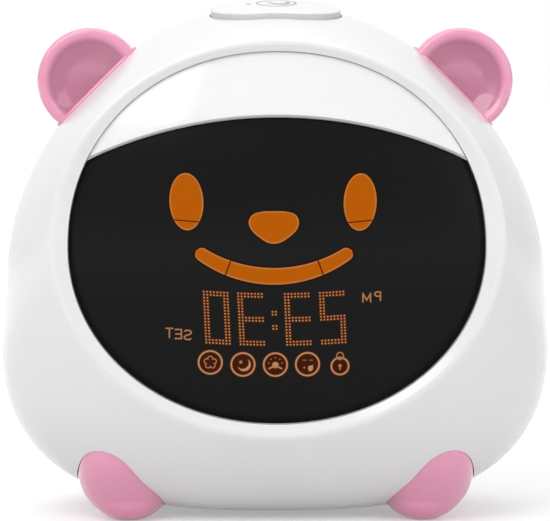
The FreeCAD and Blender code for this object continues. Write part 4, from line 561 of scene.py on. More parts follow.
# where the oval meets the brow's arc, found by halving
def browTip(radius):
    low, high = 10.0, lensShape["oval"][0]
    for _ in range(60):
        x = (low + high) / 2
        low, high = (x, high) if ovalTop(x) > arcTop(x, radius) else (low, x)
    return low


lensPlane = lensShape["plane"]
seatPlane = lensPlane + lensShape["thickness"] - lensShape["seat"]
radius = lensShape["arc"][0] - lensShape["arcGap"]
tip = browTip(radius)
outline = outlineRing(0.0, lensShape["oval"], around=520)[:, [0, 2]]
lower = outline[outline[:, 1] < arcTop(outline[:, 0], radius) - lensShape["lowerGap"]]
lower = np.vstack([(tip, arcTop(tip, radius)), lower, (-tip, arcTop(tip, radius))])
across = np.linspace(-tip, tip, 140)[1:-1]
edge = np.vstack([lower, np.stack([across, arcTop(across, radius)], -1)])
heart = np.array([0.0, lensShape["heart"]])
rings = []
for share in np.linspace(0.04, 1, 40) ** 0.8:
    spot = heart + (edge - heart) * share
    rings.append(spread(spot[:, 0], domeAt(spot[:, 0], spot[:, 1], lensPlane), spot[:, 1]))
rings.append(rings[-1].copy())
rings[-1][:, 1] = seatPlane
skin = skinOf(rings, firstPole=(heart[0], domeAt(0.0, heart[1], lensPlane), heart[1]),
              lastPole=(heart[0], seatPlane, heart[1]))
lens = finish(addPiece("displayLens", *skin), "dark_lens", "display_lens")
soften(lens, 0.25, 2, 40)

# the brow: columns from tip to tip, each a closed loop up its turned lip and face and down its back
radius = lensShape["arc"][0]
tip = browTip(radius) - lensShape["tipCut"]
column = tip * np.sin(np.linspace(-1, 1, 121)[1:-1] * math.pi / 2)
lip, turned = lensShape["lip"]
lipSteps, faceSteps = lensShape["lipSteps"], lensShape["faceSteps"]
quarter = np.linspace(0, 1, lipSteps) * math.pi / 2
steps = np.concatenate([turned * (1 - np.cos(quarter)), np.full(faceSteps, turned)])
x = np.repeat(column[:, None], lipSteps + faceSteps, 1)
low, high = arcTop(x, radius), ovalTop(x)
span = np.clip(high - low, 0.001, None)
share = np.concatenate([np.zeros(lipSteps), np.linspace(0, 1, faceSteps + 1)[1:]])
under = np.minimum(steps[None, :], span * 0.5)
z = low + under + (high - low - under) * share[None, :]
browPlane = lensPlane - lensShape["browProud"]
drop = np.concatenate([lip * (1 - np.sin(quarter)), np.zeros(faceSteps)])
face = spread(x, domeAt(x, z, browPlane) + drop[None, :] * np.minimum(span / 4, 1), z)
rear = face[:, [-1, -7, -13, 0]].copy()
rear[..., 1] = seatPlane
loops = np.concatenate([face, rear], 1)
tips = [(side * (tip + lensShape["tipCut"]), browPlane + lensShape["tipDepth"], float(arcTop(tip, radius)))
        for side in (-1, 1)]
brow = addPiece("browDiffuser", *skinOf(loops, firstPole=tips[0], lastPole=tips[1]))
finish(brow, "night_light_white", "brow_diffuser")
# the faces of the turned-under lip get the grey paint: painted shade under the brow's lower edge
centres = readAll(brow.data.polygons, "center") / mm
overEdge = centres[:, 2] - arcTop(np.clip(np.abs(centres[:, 0]), 0, tip), radius)
repaint(brow, plastic("browLipShade", lensShape["lipShadeGrey"], 0.3, mottle=0.02), overEdge < turned * 0.7)
soften(brow, 0.2, 3, 50)
print("lens and brow done")

# ears

earShape = {
    "dishShadePink": (0.52, 0.19, 0.30),         # the hollow is painted a deeper pink than the rim: painted shade in the hollow
    "dishEdge": (9.0, 10.5),                # radii where the hollow's painted shade is full and gone
    # radius and depth, from the middle of the hollow round the rim to the middle of the back
    "profile": ((0.0, -3.3), (3.5, -3.42), (5.72, -3.75), (7.6, -4.5), (8.84, -5.16), (9.7, -5.85),
                (10.4, -6.28), (11.0, -6.46), (11.5, -6.44), (12.0, -6.1), (12.32, -5.4), (12.4, -4.3),
                (12.4, -1.5), (12.4, 1.5), (12.1, 3.0), (11.3, 4.2), (9.4, 5.4), (6.5, 6.1), (3.5, 6.4),
                (0.0, 6.5)),
    "centre": 2.5,                          # height of the disc's middle over its seat
    "flange": (26.3, 14.0, 0.9, 5.4),       # length, width, thickness, corner
    "flangeEdge": ((0.0, 0.0), (0.0, 0.55), (0.12, 0.85), (0.4, 1.0)),      # inset, share of the thickness
    "around": 144,
}


# the ear's pink, deepened by painted shade where the hollow's attribute rises from 0 on the rim to 1 in the
# hollow
def dishShadePaint():
    paint = plastic("shadedDishPink", (0.80, 0.315, 0.475), 0.1, coat=0.4, mottle=0.015)
    tree = paint.node_tree
    base = tree.nodes["Principled BSDF"].inputs["Base Color"]
    rimColour = base.links[0].from_socket
    hollow = addNode(tree, "Attribute")
    hollow.attribute_name = "dishShade"
    blendIn = addNode(tree, "Mix")
    blendIn.data_type = "RGBA"
    blendIn.inputs[7].default_value = (*earShape["dishShadePink"], 1)
    for start, end in ((hollow.outputs["Fac"], blendIn.inputs[0]), (rimColour, blendIn.inputs[6]),
                       (blendIn.outputs[2], base)):
        tree.links.new(start, end)
    return paint


shadedDishPink = dishShadePaint()


# Catmull-Rom line through the knots, half of 2b + (c-a)t + (2a-5b+4c-d)t^2 + (3b-a-3c+d)t^3 on each stretch
def smoothLine(knots, steps):
    knots = np.asarray(knots, float)
    padded = np.vstack([2 * knots[0] - knots[1], knots, 2 * knots[-1] - knots[-2]])
    t = np.linspace(0, 1, steps, endpoint=False)[:, None]
    a, b, c, d = (padded[k:len(padded) - 3 + k, None] for k in range(4))
    square, cube = 2 * a - 5 * b + 4 * c - d, 3 * b - a - 3 * c + d
    line = 0.5 * (2 * b + (c - a) * t + square * t ** 2 + cube * t ** 3)
    return np.vstack([line.reshape(-1, knots.shape[1]), knots[-1]])


# an ear: its profile turned about the disc's middle and cut flat at the seat, with its flange
def makeEar(name, side, node):
    centre, around = earShape["centre"], earShape["around"]
    profile = smoothLine(earShape["profile"], 4)
    turn = turnsOf(around)
    radii, depths = profile[1:-1, None, 0], profile[1:-1, None, 1]
    rings = spread(radii * np.sin(turn), depths, radii * np.cos(turn) + centre)
    points, faces = skinOf(rings, firstPole=(0, profile[0, 1], centre), lastPole=(0, profile[-1, 1], centre))
    ear = addPiece(name, onSeat(points, side), faces)
    carve(ear, earBlock(side, -openings["earBlock"]))
    spots = readAll(ear.data.vertices, "co") / mm
    hub = onSeat(np.array([[0.0, 0.0, centre]]), side)[0, [0, 2]]
    reach = np.linalg.norm(spots[:, [0, 2]] - hub, axis=1)
    # the hollow's painted shade: full inside the inner radius, gone past the outer one, none on the back
    full, gone = earShape["dishEdge"]
    share = np.clip((gone - reach) / (gone - full), 0, 1)
    addField(ear, "dishShade", np.where(spots[:, 1] < 0, share * share * (3 - 2 * share), 0))
    length, width, thick, corner = earShape["flange"]
    flat = []
    for inset, up in earShape["flangeEdge"]:
        ring = roundedRing(length - 2 * inset, width - 2 * inset, corner - inset, 120)
        flat.append(spread(ring[:, 0], ring[:, 1], up * thick))
    points, faces = skinOf(flat, firstPole=(0, 0, 0), lastPole=(0, 0, thick))
    flange = addPiece(name + "Flange", onSeat(points, side), faces)
    finish(ear, "pink_plastic", node, paint=shadedDishPink)
    finish(flange, "pink_plastic", node)


makeEar("earLeft", -1, "ear_left")
makeEar("earRight", 1, "ear_right")

# feet

footShape = {
    "radius": 12.0,
    "centre": 11.65,        # height of the ball's middle
    "rings": 60,
    "around": 120,
    "spots": {"front_left": (-34.5, -10.0), "front_right": (34.5, -10.0), "rear_left": (-34.5, 16.0),
              "rear_right": (34.5, 16.0)},
    # a front foot's swelling and tuck: way (outwards, ahead, up), amount, start and power
    "swell": ((0.329, -0.736, 0.592), 5.0, -0.16, 4.7),
    "tuck": ((-0.262, -0.85, -0.457), -2.0, -0.16, 2.0),
    "groove": 0.17,                 # gap round a foot in the case
    "socketEnds": (0.3, -0.6),      # over the ball's top and under the floor
}


# a foot is a ball z = centre + R cos a, reach = R sin a, with a small flat sole; each change of a front
# foot adds amount * ((cos of the angle to its way - start) / (1 - start))^power to the radius
def footRings(x, y, front, grow=0.0):
    radius, centre = footShape["radius"], footShape["centre"]
    fall = np.linspace(0.03, 1, footShape["rings"])[:, None] * math.pi
    turn = np.linspace(0, math.tau, footShape["around"] + 1)[:-1]
    out = spread(np.sin(fall) * np.cos(turn), np.sin(fall) * np.sin(turn), np.cos(fall))
    size = np.full(out.shape[:2], radius + grow)
    for change in ("swell", "tuck") if front else ():
        way, amount, start, power = footShape[change]
        way = np.array([way[0] * math.copysign(1, x), way[1], way[2]]) / np.linalg.norm(way)
        share = np.clip((out @ way - start) / (1 - start), 0, 1) ** power
        aboveSole = np.clip((out[..., 2] + 1) / 0.35, 0, 1) ** 2       # keeps the sole as it is
        size = size + amount * share * aboveSole
    rings = out * size[..., None] + (x, y, centre)
    if not grow:
        rings[..., 2] = np.maximum(rings[..., 2], 0)
    return rings[:-1]


footTop = footShape["centre"] + footShape["radius"]
for spot, (x, y) in footShape["spots"].items():
    end, side = spot.split("_")
    skin = skinOf(footRings(x, y, end == "front"), firstPole=(x, y, footTop), lastPole=(x, y, 0.0))
    finish(addPiece("foot" + end.title() + side.title(), *skin), "pink_plastic", "foot_" + spot)
    over, under = footShape["socketEnds"]
    skin = skinOf(footRings(x, y, end == "front", footShape["groove"]),
                  firstPole=(x, y, footTop + over), lastPole=(x, y, under))
    carve({"front": frontShell, "rear": rearShell}[end], addPiece("footSocket", *skin, body=None))
print("ears and feet done")

# snooze button

snoozeShape = {
    "proud": 1.35,
    "round": 0.45,
    "skirt": 3.2,
    # grey painted on the button's steep sides: painted shade on its skirt
    "skirtShadeGrey": (0.57, 0.57, 0.57),
    "innermost": 14.9,      # inset of the first ring, next to the middle line
    "leastCorner": 0.15,
    "around": 200,
}


# the crown's own form raised by the button's height, its edge rounded down like a quarter circle
def makeSnooze():
    length, width, middle, corner, gap = openings["snooze"]
    edgeRound, proud = snoozeShape["round"], snoozeShape["proud"]
    rings = []
    edge = edgeRound * (1 - np.sin(np.linspace(0, 1, 8) * math.pi / 2))
    for inset in np.concatenate([np.linspace(snoozeShape["innermost"], edgeRound * 1.6, 18), edge]):
        ringCorner = max(corner - inset, snoozeShape["leastCorner"])
        ring = roundedRing(length - 2 * inset, width - 2 * inset, ringCorner, snoozeShape["around"])
        x, y = ring[:, 0], ring[:, 1] + middle
        fall = edgeRound - math.sqrt(max(edgeRound ** 2 - max(edgeRound - inset, 0) ** 2, 0))
        rings.append(spread(x, y, crownAt(x, y, proud) - fall))
    base = rings[-1].copy()
    base[:, 2] = crownAt(base[:, 0], base[:, 1]) - snoozeShape["skirt"]
    peak = float(crownAt(0.0, np.array(middle), proud))
    skin = skinOf(rings + [base], firstPole=(0, middle, peak), lastPole=(0, middle, base[:, 2].mean()))
    button = addPiece("snoozeButton", *skin, body="snooze_button")
    finish(button, "case_white", "snooze_button")
    # the steep side faces get the grey paint: painted shade on the button's skirt
    skirt = np.abs(readAll(button.data.polygons, "normal")[:, 2]) < 0.6
    repaint(button, plastic("shadedSkirt", snoozeShape["skirtShadeGrey"], 0.4, mottle=0.02), skirt)


makeSnooze()

# flat marks: each is a thin solid laid on a surface, with the depth of each point within its outline


# a line of some half width: each point moves square to the line, from -w to +w; depth is w (1 - |share|)
def stroke(path, halfWidth, closed=False):
    path = np.asarray(path, float)
    along = np.roll(path, -1, 0) - np.roll(path, 1, 0) if closed else np.gradient(path, axis=0)
    side = np.stack([-along[:, 1], along[:, 0]], -1) / np.linalg.norm(along, axis=1)[:, None]
    widths = np.broadcast_to(halfWidth, len(path))[:, None]
    across = np.linspace(-1, 1, 7)
    return {"spots": path[:, None] + side[:, None] * (widths * across)[..., None],
            "depth": widths * (1 - np.abs(across)), "closed": closed, "heart": None}


# a line with round ends: w = sqrt(r^2 - (r - d)^2) where d, the way to the nearer end, is under r
def roundEnded(path, radius, steps=24):
    path = np.asarray(path, float)
    walked = walkedAlong(path)
    total = walked[-1]
    near = radius * (1 - np.cos(np.linspace(0.1, 1, 7) * math.pi / 2))
    stops = np.concatenate([near, np.linspace(radius, total - radius, steps)[1:-1], total - near[::-1]])
    line = np.stack([np.interp(stops, walked, path[:, k]) for k in (0, 1)], -1)
    away = np.minimum(stops, total - stops)
    return stroke(line, np.sqrt(radius ** 2 - np.clip(radius - away, 0, None) ** 2))


# a straight bar between two points, its ends round and half a width longer
def bar(start, end, radius):
    start, end = np.array(start, float), np.array(end, float)
    way = (end - start) / np.linalg.norm(end - start) * radius
    return roundEnded([start - way, end + way], radius, 5)


# an outline filled in rings from its middle; depth is the way left to the outline
def filled(outline, shares=(0.35, 0.65, 0.85, 0.95, 1.0)):
    outline = np.asarray(outline, float)
    heart, shares = outline.mean(0), np.array(shares)
    reach = np.linalg.norm(outline - heart, axis=1)
    return {"spots": heart + (outline - heart) * shares[:, None, None],
            "depth": (1 - shares)[:, None] * reach, "closed": False, "heart": heart}


# (x + a cos t, z + b sin t), tilted by some degrees
def ellipse(x, z, halfX, halfZ, tilt=0.0, steps=72):
    turn = turnsOf(steps)
    lean = math.radians(tilt)
    a, b = halfX * np.cos(turn), halfZ * np.sin(turn)
    return np.stack([x + a * math.cos(lean) - b * math.sin(lean),
                     z + a * math.sin(lean) + b * math.cos(lean)], -1)


# a filled ellipse, and a closed line round an ellipse
def spotAt(x, z, halfX, halfZ, steps=72):
    return filled(ellipse(x, z, halfX, halfZ, steps=steps))


def hoop(x, z, halfX, halfZ, halfLine):
    return stroke(ellipse(x, z, halfX, halfZ)[::-1], halfLine, closed=True)


# points of a circle from one angle to another, 0 degrees pointing down and turning towards +x
def arc(x, z, radius, start, stop, steps=40):
    turn = np.radians(np.linspace(start, stop, steps) - 90)
    return np.stack([x + radius * np.cos(turn), z + radius * np.sin(turn)], -1)


# a moon's sickle: an arc whose half width swells by some amount from its thin ends to its middle
def sickle(x, z, radius, start, stop, thin, swell):
    share = np.sin(np.linspace(0.02, 0.98, 40) * math.pi)
    return stroke(arc(x, z, radius, start, stop), thin + swell * share)


# an outline whose reach from its middle, an array of evenly turned steps, starts upwards and turns towards +x
def petalled(x, z, reach):
    turn = turnsOf(len(reach))
    return np.stack([x + reach * np.sin(turn), z + reach * np.cos(turn)], -1)


# one piece from many marks; place(spots, height) says where a flat point lies at a height over the surface
def lay(name, marks, place, paint, lift=0.04, sink=0.25, body="case"):
    points, faces, depths, count = [], [], [], 0
    for mark in marks:
        spots, depth, heart = mark["spots"], mark["depth"], mark["heart"]
        if heart is not None:
            layers = np.concatenate([place(spots, lift), place(spots[[-1, 0]], -sink)])
            poles = place(np.array([heart]), lift)[0], place(np.array([heart]), -sink)[0]
            fields = np.concatenate([depth, depth[[-1, 0]]]).ravel()
            onPoles = [depth.max(), depth.max()]
        else:
            layers = np.concatenate([place(spots, lift), place(spots[:, ::-1], -sink)], 1)
            poles = (None, None) if mark["closed"] else (layers[0].mean(0), layers[-1].mean(0))
            fields = np.concatenate([depth, depth[:, ::-1]], 1).ravel()
            onPoles = [] if mark["closed"] else [0.0, 0.0]
        somePoints, someFaces = skinOf(layers, wrap=mark["closed"], firstPole=poles[0], lastPole=poles[1])
        faces += [[index + count for index in face] for face in outward(somePoints, someFaces)]
        points.append(somePoints)
        depths.append(np.concatenate([fields, onPoles]))
        count += len(somePoints)
    piece = addPiece(name, np.concatenate(points), faces, body)
    addField(piece, "depth", np.concatenate(depths))
    piece.data.materials.append(paint)


# a flat point (x, z) on the lens
def onLens(spots, height):
    x, z = spots[..., 0] + display["shift"], spots[..., 1]
    return spread(x, domeAt(x, z, lensPlane) - height, z)


# display graphics: a bear's face, the time in dots, two legends and five small signs, all in mm

display = {
    "shift": -0.53,      # the whole picture stands this far to the left
    "eyes": ((-20.1, 76.2, 3.85, 6.5, 3.0), (19.3, 76.1, 3.75, 6.5, -2.0)),      # x, z, half sizes, tilt
    "lids": (((-23.2, 72.1), (-17.0, 71.6)), ((16.6, 71.45), (22.3, 72.0))),
    "lidHalf": 0.14,
    "nose": ((-0.3, 74.1), (-2.9, 74.0), (-5.1, 73.3), (-6.0, 71.6), (-5.3, 69.75), (-3.4, 68.0),
             (-1.3, 66.85), (0.8, 66.85), (2.9, 68.0), (4.8, 69.75), (5.4, 71.6), (4.6, 73.3), (2.4, 74.0)),
    "mouth": {"centre": (-0.25, 88.9), "radius": 29.6, "ends": (-36.6, 36.6), "half": (1.45, 1.9),
              "cuts": (-20.6, 20.9), "cutHalf": 0.16, "cutReach": 1.7},
    "edge": 0.45,        # how far the dim edge of the eyes and mouth reaches past them
    "noseEdge": 1.09,    # and how much larger the nose's is
    "dots": {"pitch": (0.765, 0.69), "half": (0.25, 0.235), "lean": 2.8, "top": 56.55, "sag": 1.3,
             "sagSpan": 17, "rings": (0.6, 1.0), "bed": 0.42, "colonBed": 0.85},
    "digitsAt": ((-16.2, "0"), (-8.4, "E"), (2.2, "E"), (10.15, "5")),
    "colonAt": (-0.8, (51.2, 47.9)),
    "signs": {"flower": (-14.75, 39.4), "moon": (-7.3, 38.95), "sunrise": (0.1, 38.92),
              "sleeper": (7.42, 39.0), "padlock": (14.85, 38.5)},
    "signRing": (2.66, 0.27, 0.7),      # radius, half its line, reach of the halo
    "padlockRing": 1.97,
    "line": 0.17,
    "lift": {"signHalo": 0.015, "edge": 0.02, "gap": 0.06},      # heights over the lens
}
amber = glow("amberLight", (0.50, 0.20, 0.06), (0.478, 0.103, 0.001), 0.55)
signAmber = glow("signAmber", (0.19, 0.06, 0.012), (0.50, 0.235, 0.12), 0.2)
dotAmber = glow("dotAmber", (0.17, 0.045, 0.006), (0.60, 0.28, 0.12), 0.13)
halo = glow("amberHalo", (0.0105, 0.010, 0.010), (0.045, 0.0085, 0.002), 0.7)
dimAmber = glow("dimAmber", (0.018, 0.010, 0.008), (0.060, 0.013, 0.004), 0.35)
segmentGap = glow("segmentGap", (0.09, 0.012, 0.001), (0.09, 0.012, 0.001), 0.3)
faceEdge = glow("faceEdge", (0.012, 0.007, 0.005), (0.024, 0.005, 0.001), 0.25)

lifts, past = display["lift"], display["edge"]
eyes = [ellipse(*eye) for eye in display["eyes"]]
nose = smoothLine(display["nose"] + display["nose"][:1], 8)[:-1]
noseMiddle = nose.mean(0)
grown = [ellipse(x, z, a + past, b + past, tilt) for x, z, a, b, tilt in display["eyes"]]
grown.append(noseMiddle + (nose - noseMiddle) * display["noseEdge"])
lay("faceHalo", [filled(outline) for outline in grown], onLens, faceEdge, lift=lifts["edge"])
lay("eyesAndNose", [filled(outline) for outline in eyes + [nose]], onLens, amber)
lids = [bar(*ends, display["lidHalf"]) for ends in display["lids"]]
lay("lids", lids, onLens, segmentGap, lift=lifts["gap"])


# the smile: an arc whose half width swells from the ends to the middle, its ends round
def smile(grow):
    mouth = display["mouth"]
    x, z = mouth["centre"]
    extra = math.degrees(grow / mouth["radius"])
    line = arc(x, z, mouth["radius"], mouth["ends"][0] - extra, mouth["ends"][1] + extra, 97)
    walked = walkedAlong(line)
    thin, thick = mouth["half"]
    swell = (thick - thin) * np.cos(np.linspace(-1, 1, 97) * math.pi / 2) + thin + grow
    away = np.minimum(walked, walked[-1] - walked)
    narrow = np.sqrt(np.clip(1 - np.clip(1 - away / swell, 0, None) ** 2, 0.0004, None))
    return stroke(line, swell * narrow)


mouth = display["mouth"]
lay("mouthHalo", [smile(past)], onLens, faceEdge, lift=lifts["edge"])
lay("mouth", [smile(0.0)], onLens, amber)
cuts = []
for turn in mouth["cuts"]:
    ends = [arc(*mouth["centre"], mouth["radius"] + offset, turn, turn, 1)[0]
            for offset in (-mouth["cutReach"], mouth["cutReach"])]
    cuts.append(bar(*ends, mouth["cutHalf"]))
lay("mouthCuts", cuts, onLens, segmentGap, lift=lifts["gap"])

fieldSize = (18, 8)
strokes = {    # rows and columns of the 18 by 8 dot field that each stroke fills
    "0": ((0, 2, 0, 8), (16, 18, 0, 8), (0, 18, 0, 2), (0, 18, 6, 8)),
    "E": ((0, 2, 0, 8), (8, 10, 0, 8), (16, 18, 0, 8), (0, 18, 0, 2)),
    "5": ((0, 2, 0, 8), (8, 10, 0, 8), (16, 18, 0, 8), (0, 10, 0, 2), (8, 18, 6, 8)),
}


# a dot's place: right by its column, down by its row, leaned by the row and sunk a little towards the middle
def dotAt(left, row, column):
    dots = display["dots"]
    acrossPitch, downPitch = dots["pitch"]
    x = left + column * acrossPitch + row * downPitch * math.tan(math.radians(dots["lean"]))
    return np.array([x, dots["top"] - row * downPitch - dots["sag"] * math.cos(x / dots["sagSpan"])])


dots, beds = [], []
halfX, halfZ = display["dots"]["half"]
dotRings, grow = display["dots"]["rings"], display["dots"]["bed"]
aside = np.array([(-grow, grow), (grow, grow), (grow, -grow), (-grow, -grow)])
for left, digit in display["digitsAt"]:
    field = np.zeros(fieldSize, bool)
    for top, bottom, start, stop in strokes[digit]:
        field[top:bottom, start:stop] = True
        corners = aside + [dotAt(left, row, column) for row, column in
                           ((top, start), (top, stop - 1), (bottom - 1, stop - 1), (bottom - 1, start))]
        edge = np.linspace(0, 1, 18, endpoint=False)[:, None]
        sides = [corners[k] + (corners[(k + 1) % 4] - corners[k]) * edge for k in range(4)]
        beds.append(filled(np.concatenate(sides), dotRings))
    dots += [filled(ellipse(*dotAt(left, row, column), halfX, halfZ, steps=10), dotRings)
             for row, column in np.argwhere(field)]
left, heights = display["colonAt"]
bed = display["dots"]["colonBed"]
for high in heights:
    row = (display["dots"]["top"] - display["dots"]["sag"] - high) / display["dots"]["pitch"][1]
    spots = [dotAt(left, row + down, column) for down in (0, 1) for column in (0, 1)]
    dots += [filled(ellipse(*spot, halfX, halfZ, steps=10), dotRings) for spot in spots]
    beds.append(filled(ellipse(*np.mean(spots, 0), bed, bed, steps=16), dotRings))
lay("digitBeds", beds, onLens, dimAmber, lift=lifts["edge"])
lay("digitDots", dots, onLens, dotAmber)
print("display dots:", len(dots))


# the lines of a letter in a box of some width and height; a negative width turns the letter round
def letterLines(letter, width, height):
    shapes = {    # in halves of the box; the curved lines are marked by how many steps smooth each stretch
        "T": (((-1, 1), (1, 1)), ((0, 1), (0, -1))),
        "E": (((-1, 1), (-1, -1)), ((-1, 1), (1, 1)), ((-1, 0), (0.8, 0)), ((-1, -1), (1, -1))),
        "S": ((5, (1, 0.7), (0.3, 1), (-0.6, 0.9), (-0.95, 0.5), (-0.5, 0.12), (0.5, -0.12), (0.95, -0.5),
               (0.6, -0.9), (-0.3, -1), (-1, -0.7)),),
        "P": (((-1, 1), (-1, -1)), (6, (-1, 1), (0.3, 1), (0.95, 0.55), (0.3, 0.05), (-1, 0.05))),
        "M": (((-1, -1), (-1, 1)), ((-1, 1), (0, -0.6)), ((0, -0.6), (1, 1)), ((1, 1), (1, -1))),
    }
    box = np.array([width / 2, height / 2])
    return [smoothLine(np.array(line[1:]) * box, line[0]) if isinstance(line[0], int)
            else np.array(line) * box for line in shapes[letter]]


# letters with their middles in x and z; the whole display is seen turned round, as the digits are
legends = {
    "set": (("T", -24.05, 46.2), ("E", -22.0, 45.95), ("S", -19.85, 45.75)),
    "pm": (("M", 20.85, 54.3), ("P", 23.3, 54.6)),
    "line": 0.2,
    "size": {"T": (1.45, 2.1), "E": (1.4, 2.1), "S": (1.7, 2.15), "M": (1.75, 1.95), "P": (1.35, 1.95)},
}
legendMarks = []
for letter, x, z in legends["set"] + legends["pm"]:
    width, height = legends["size"][letter]
    for line in letterLines(letter, -width, height):
        placed = line + (x, z)
        legendMarks.append(bar(*placed, legends["line"]) if len(line) == 2
                           else roundEnded(placed, legends["line"], 30))
lay("legends", legendMarks, onLens, signAmber)

radius, halfLine, haloReach = display["signRing"]
thin = display["line"]
signs, signHalos = [], []
for name, (x, z) in display["signs"].items():
    size = display["padlockRing"] if name == "padlock" else radius
    signs.append(hoop(x, z, size, size, halfLine))
    signHalos.append(spotAt(x, z, size + haloReach, size + haloReach))
x, z = display["signs"]["flower"]
petals = 0.82 + 0.62 * np.sqrt(np.abs(np.cos(2.5 * turnsOf(90))))
signs.append(stroke(petalled(x, z, petals), thin, closed=True))
x, z = display["signs"]["moon"]
star = 0.36 + 0.2 * np.cos(5 * turnsOf(40))
signs += [sickle(x + 0.1, z + 0.15, 1.45, -62, 138, 0.05, 0.36), filled(petalled(x - 0.5, z + 0.55, star))]
x, z = display["signs"]["sunrise"]
signs += [spotAt(x, z - 0.1, 0.82, 0.82), roundEnded(arc(x, z - 3.1, 2.6, 180 - 38, 180 + 38), 0.24)]
signs += [spotAt(x + 1.55 * math.sin(a), z + 0.05 + 1.55 * math.cos(a), 0.2, 0.2, 16)
          for a in np.radians((-78, -40, 0, 40, 78))]
x, z = display["signs"]["sleeper"]
body = np.array(((1.3, -0.1), (0.1, -0.55), (0.35, -1.7), (1.25, -1.35), (1.3, -0.1))) + (x, z)
signs += [bar((x - 1.05, z + 0.95), (x - 0.35, z + 0.95), 0.13),
          bar((x + 0.5, z + 0.95), (x + 1.15, z + 0.95), 0.13),
          spotAt(x - 0.75, z - 0.8, 0.25, 0.25, 16), filled(smoothLine(body, 6)[:-1])]
x, z = display["signs"]["padlock"]
signs += [hoop(x, z + 2.35, 0.78, 0.85, 0.17), spotAt(x, z + 0.1, 0.42, 0.42),
          bar((x, z), (x, z - 0.75), 0.2)]
signHalos.append(spotAt(x, z + 2.35, 1.2, 1.3))
lay("signHalos", signHalos, onLens, halo, lift=lifts["signHalo"])
lay("signs", signs, onLens, signAmber)
print("display graphics done")

# printed marks on the snooze button and on the rear controls

prints = {
    "ink": (0.30, 0.30, 0.31),
    "snooze": {"middle": (0.1, -13.4), "radius": 4.5, "line": 0.22},
    "buttonLine": 0.2,
    "buttonFace": 38.0,        # depth of a setting button's face
    "locksApart": 7.2,         # from the lock slot's middle to each padlock
    "lift": 0.03,
    "sink": 0.2,
}
ink = plastic("greyInk", prints["ink"], 0.45, mottle=0.05)


# a flat point (x, y) on top of the snooze button
def onSnooze(spots, height):
    x, y = spots[..., 0], spots[..., 1]
    return spread(x, y, crownAt(x, y, snoozeShape["proud"]) + height)


# a flat point (x, z) on a face at some depth, seen from behind, so x runs the other way
def onRear(x, z, depth):
    return lambda spots, height: spread(x - spots[..., 0], depth + height, z + spots[..., 1])


x, y = prints["snooze"]["middle"]
fine, size = prints["snooze"]["line"], prints["snooze"]["radius"]
snoozeMarks = [hoop(x, y, size, size, fine), sickle(x + 0.6, y, 2.2, -70, 140, 0.1, 0.55),
               bar((x - 2.6, y + 1.2), (x - 1.2, y + 1.2), fine),
               bar((x - 1.9, y - 0.9), (x - 0.9, y - 0.9), fine), spotAt(x - 6.5, y - 0.4, 0.55, 0.55, 24)]
lay("snoozePrint", snoozeMarks, onSnooze, ink, lift=prints["lift"], body="snooze_button")

line = prints["buttonLine"]
bell = smoothLine(((-1.5, -0.9), (-1.1, -0.4), (-0.95, 0.5), (-0.6, 1.15), (0, 1.4), (0.6, 1.15), (0.95, 0.5),
                   (1.1, -0.4), (1.5, -0.9)), 6)
rays = [np.array([math.cos(a), math.sin(a)]) for a in np.radians(np.arange(0, 360, 45))]
buttonMarks = {
    "time": [hoop(0, 0, 1.6, 1.6, line), bar((0, 0), (0, 0.95), line), bar((0, 0), (0.7, -0.3), line)],
    "alarm": [roundEnded(bell, line, 40), bar((-1.5, -0.9), (1.5, -0.9), line),
              spotAt(0, -1.45, 0.35, 0.3, 20)],
    "light": [hoop(0, 0, 0.8, 0.8, line)] + [bar(1.25 * ray, 1.7 * ray, line) for ray in rays],
    "plus": [bar((-1.4, 0), (1.4, 0), 0.26), bar((0, -1.4), (0, 1.4), 0.26)],
    "minus": [bar((-1.4, 0), (1.4, 0), 0.26)],
}
for name, marks in buttonMarks.items():
    place = onRear(*openings["buttonSpots"][name], prints["buttonFace"])
    lay(name + "Print", marks, place, ink, prints["lift"], prints["sink"], name + "_button")

lockX, lockZ = openings["lockSlot"][:2]
for side, name, stop in ((-1, "lockShut", 90), (1, "lockOpen", 55)):
    shackle = arc(0, 0.35, 0.62, 180 - 90, 180 + stop, 30)
    marks = [filled(roundedRing(1.9, 1.4, 0.25, 40) - (0, 0.5)), roundEnded(shackle, 0.15, 20)]
    place = onRear(lockX + side * prints["locksApart"], lockZ, headShape["rearDepth"])
    lay(name + "Print", marks, place, ink, prints["lift"], prints["sink"])
print("printed marks done")

# finishes for the CAD nodes that stay

nodeFinish = {
    "inner_white": ("battery_tray", "display_mask", "light_tray", "speaker_clamp"),
    "screw_steel": ("foot_screws", "snooze_board_screws", "battery_door_screws", "case_screws",
                    "speaker_screws", "main_board_screws", "display_board_screws", "night_light_screws"),
    "contact_steel": ("battery_contacts", "usb_socket"),
    "speaker_metal": ("speaker",),
    "circuit_board": ("snooze_board", "main_board", "display_board", "night_light_board"),
    "switch_black": ("snooze_switch", "tact_switches", "lock_switch_body", "ribbon_connectors"),
    "cell_jacket": ("battery_1", "battery_2", "battery_3"),
    "led_amber": ("display_leds",),
    "led_white": ("night_light_leds",),
    "ribbon_grey": ("display_ribbon",),
    "case_white": ("battery_door",),
    "button_white": ("time_button", "alarm_button", "light_button", "plus_button", "minus_button",
                     "lock_switch_knob"),
}
for slotName, names in nodeFinish.items():
    for name in names:
        nodes[name].data.materials.clear()
        nodes[name].data.materials.append(finishes[slotName])
print("CAD nodes finished")

# floor, light and camera

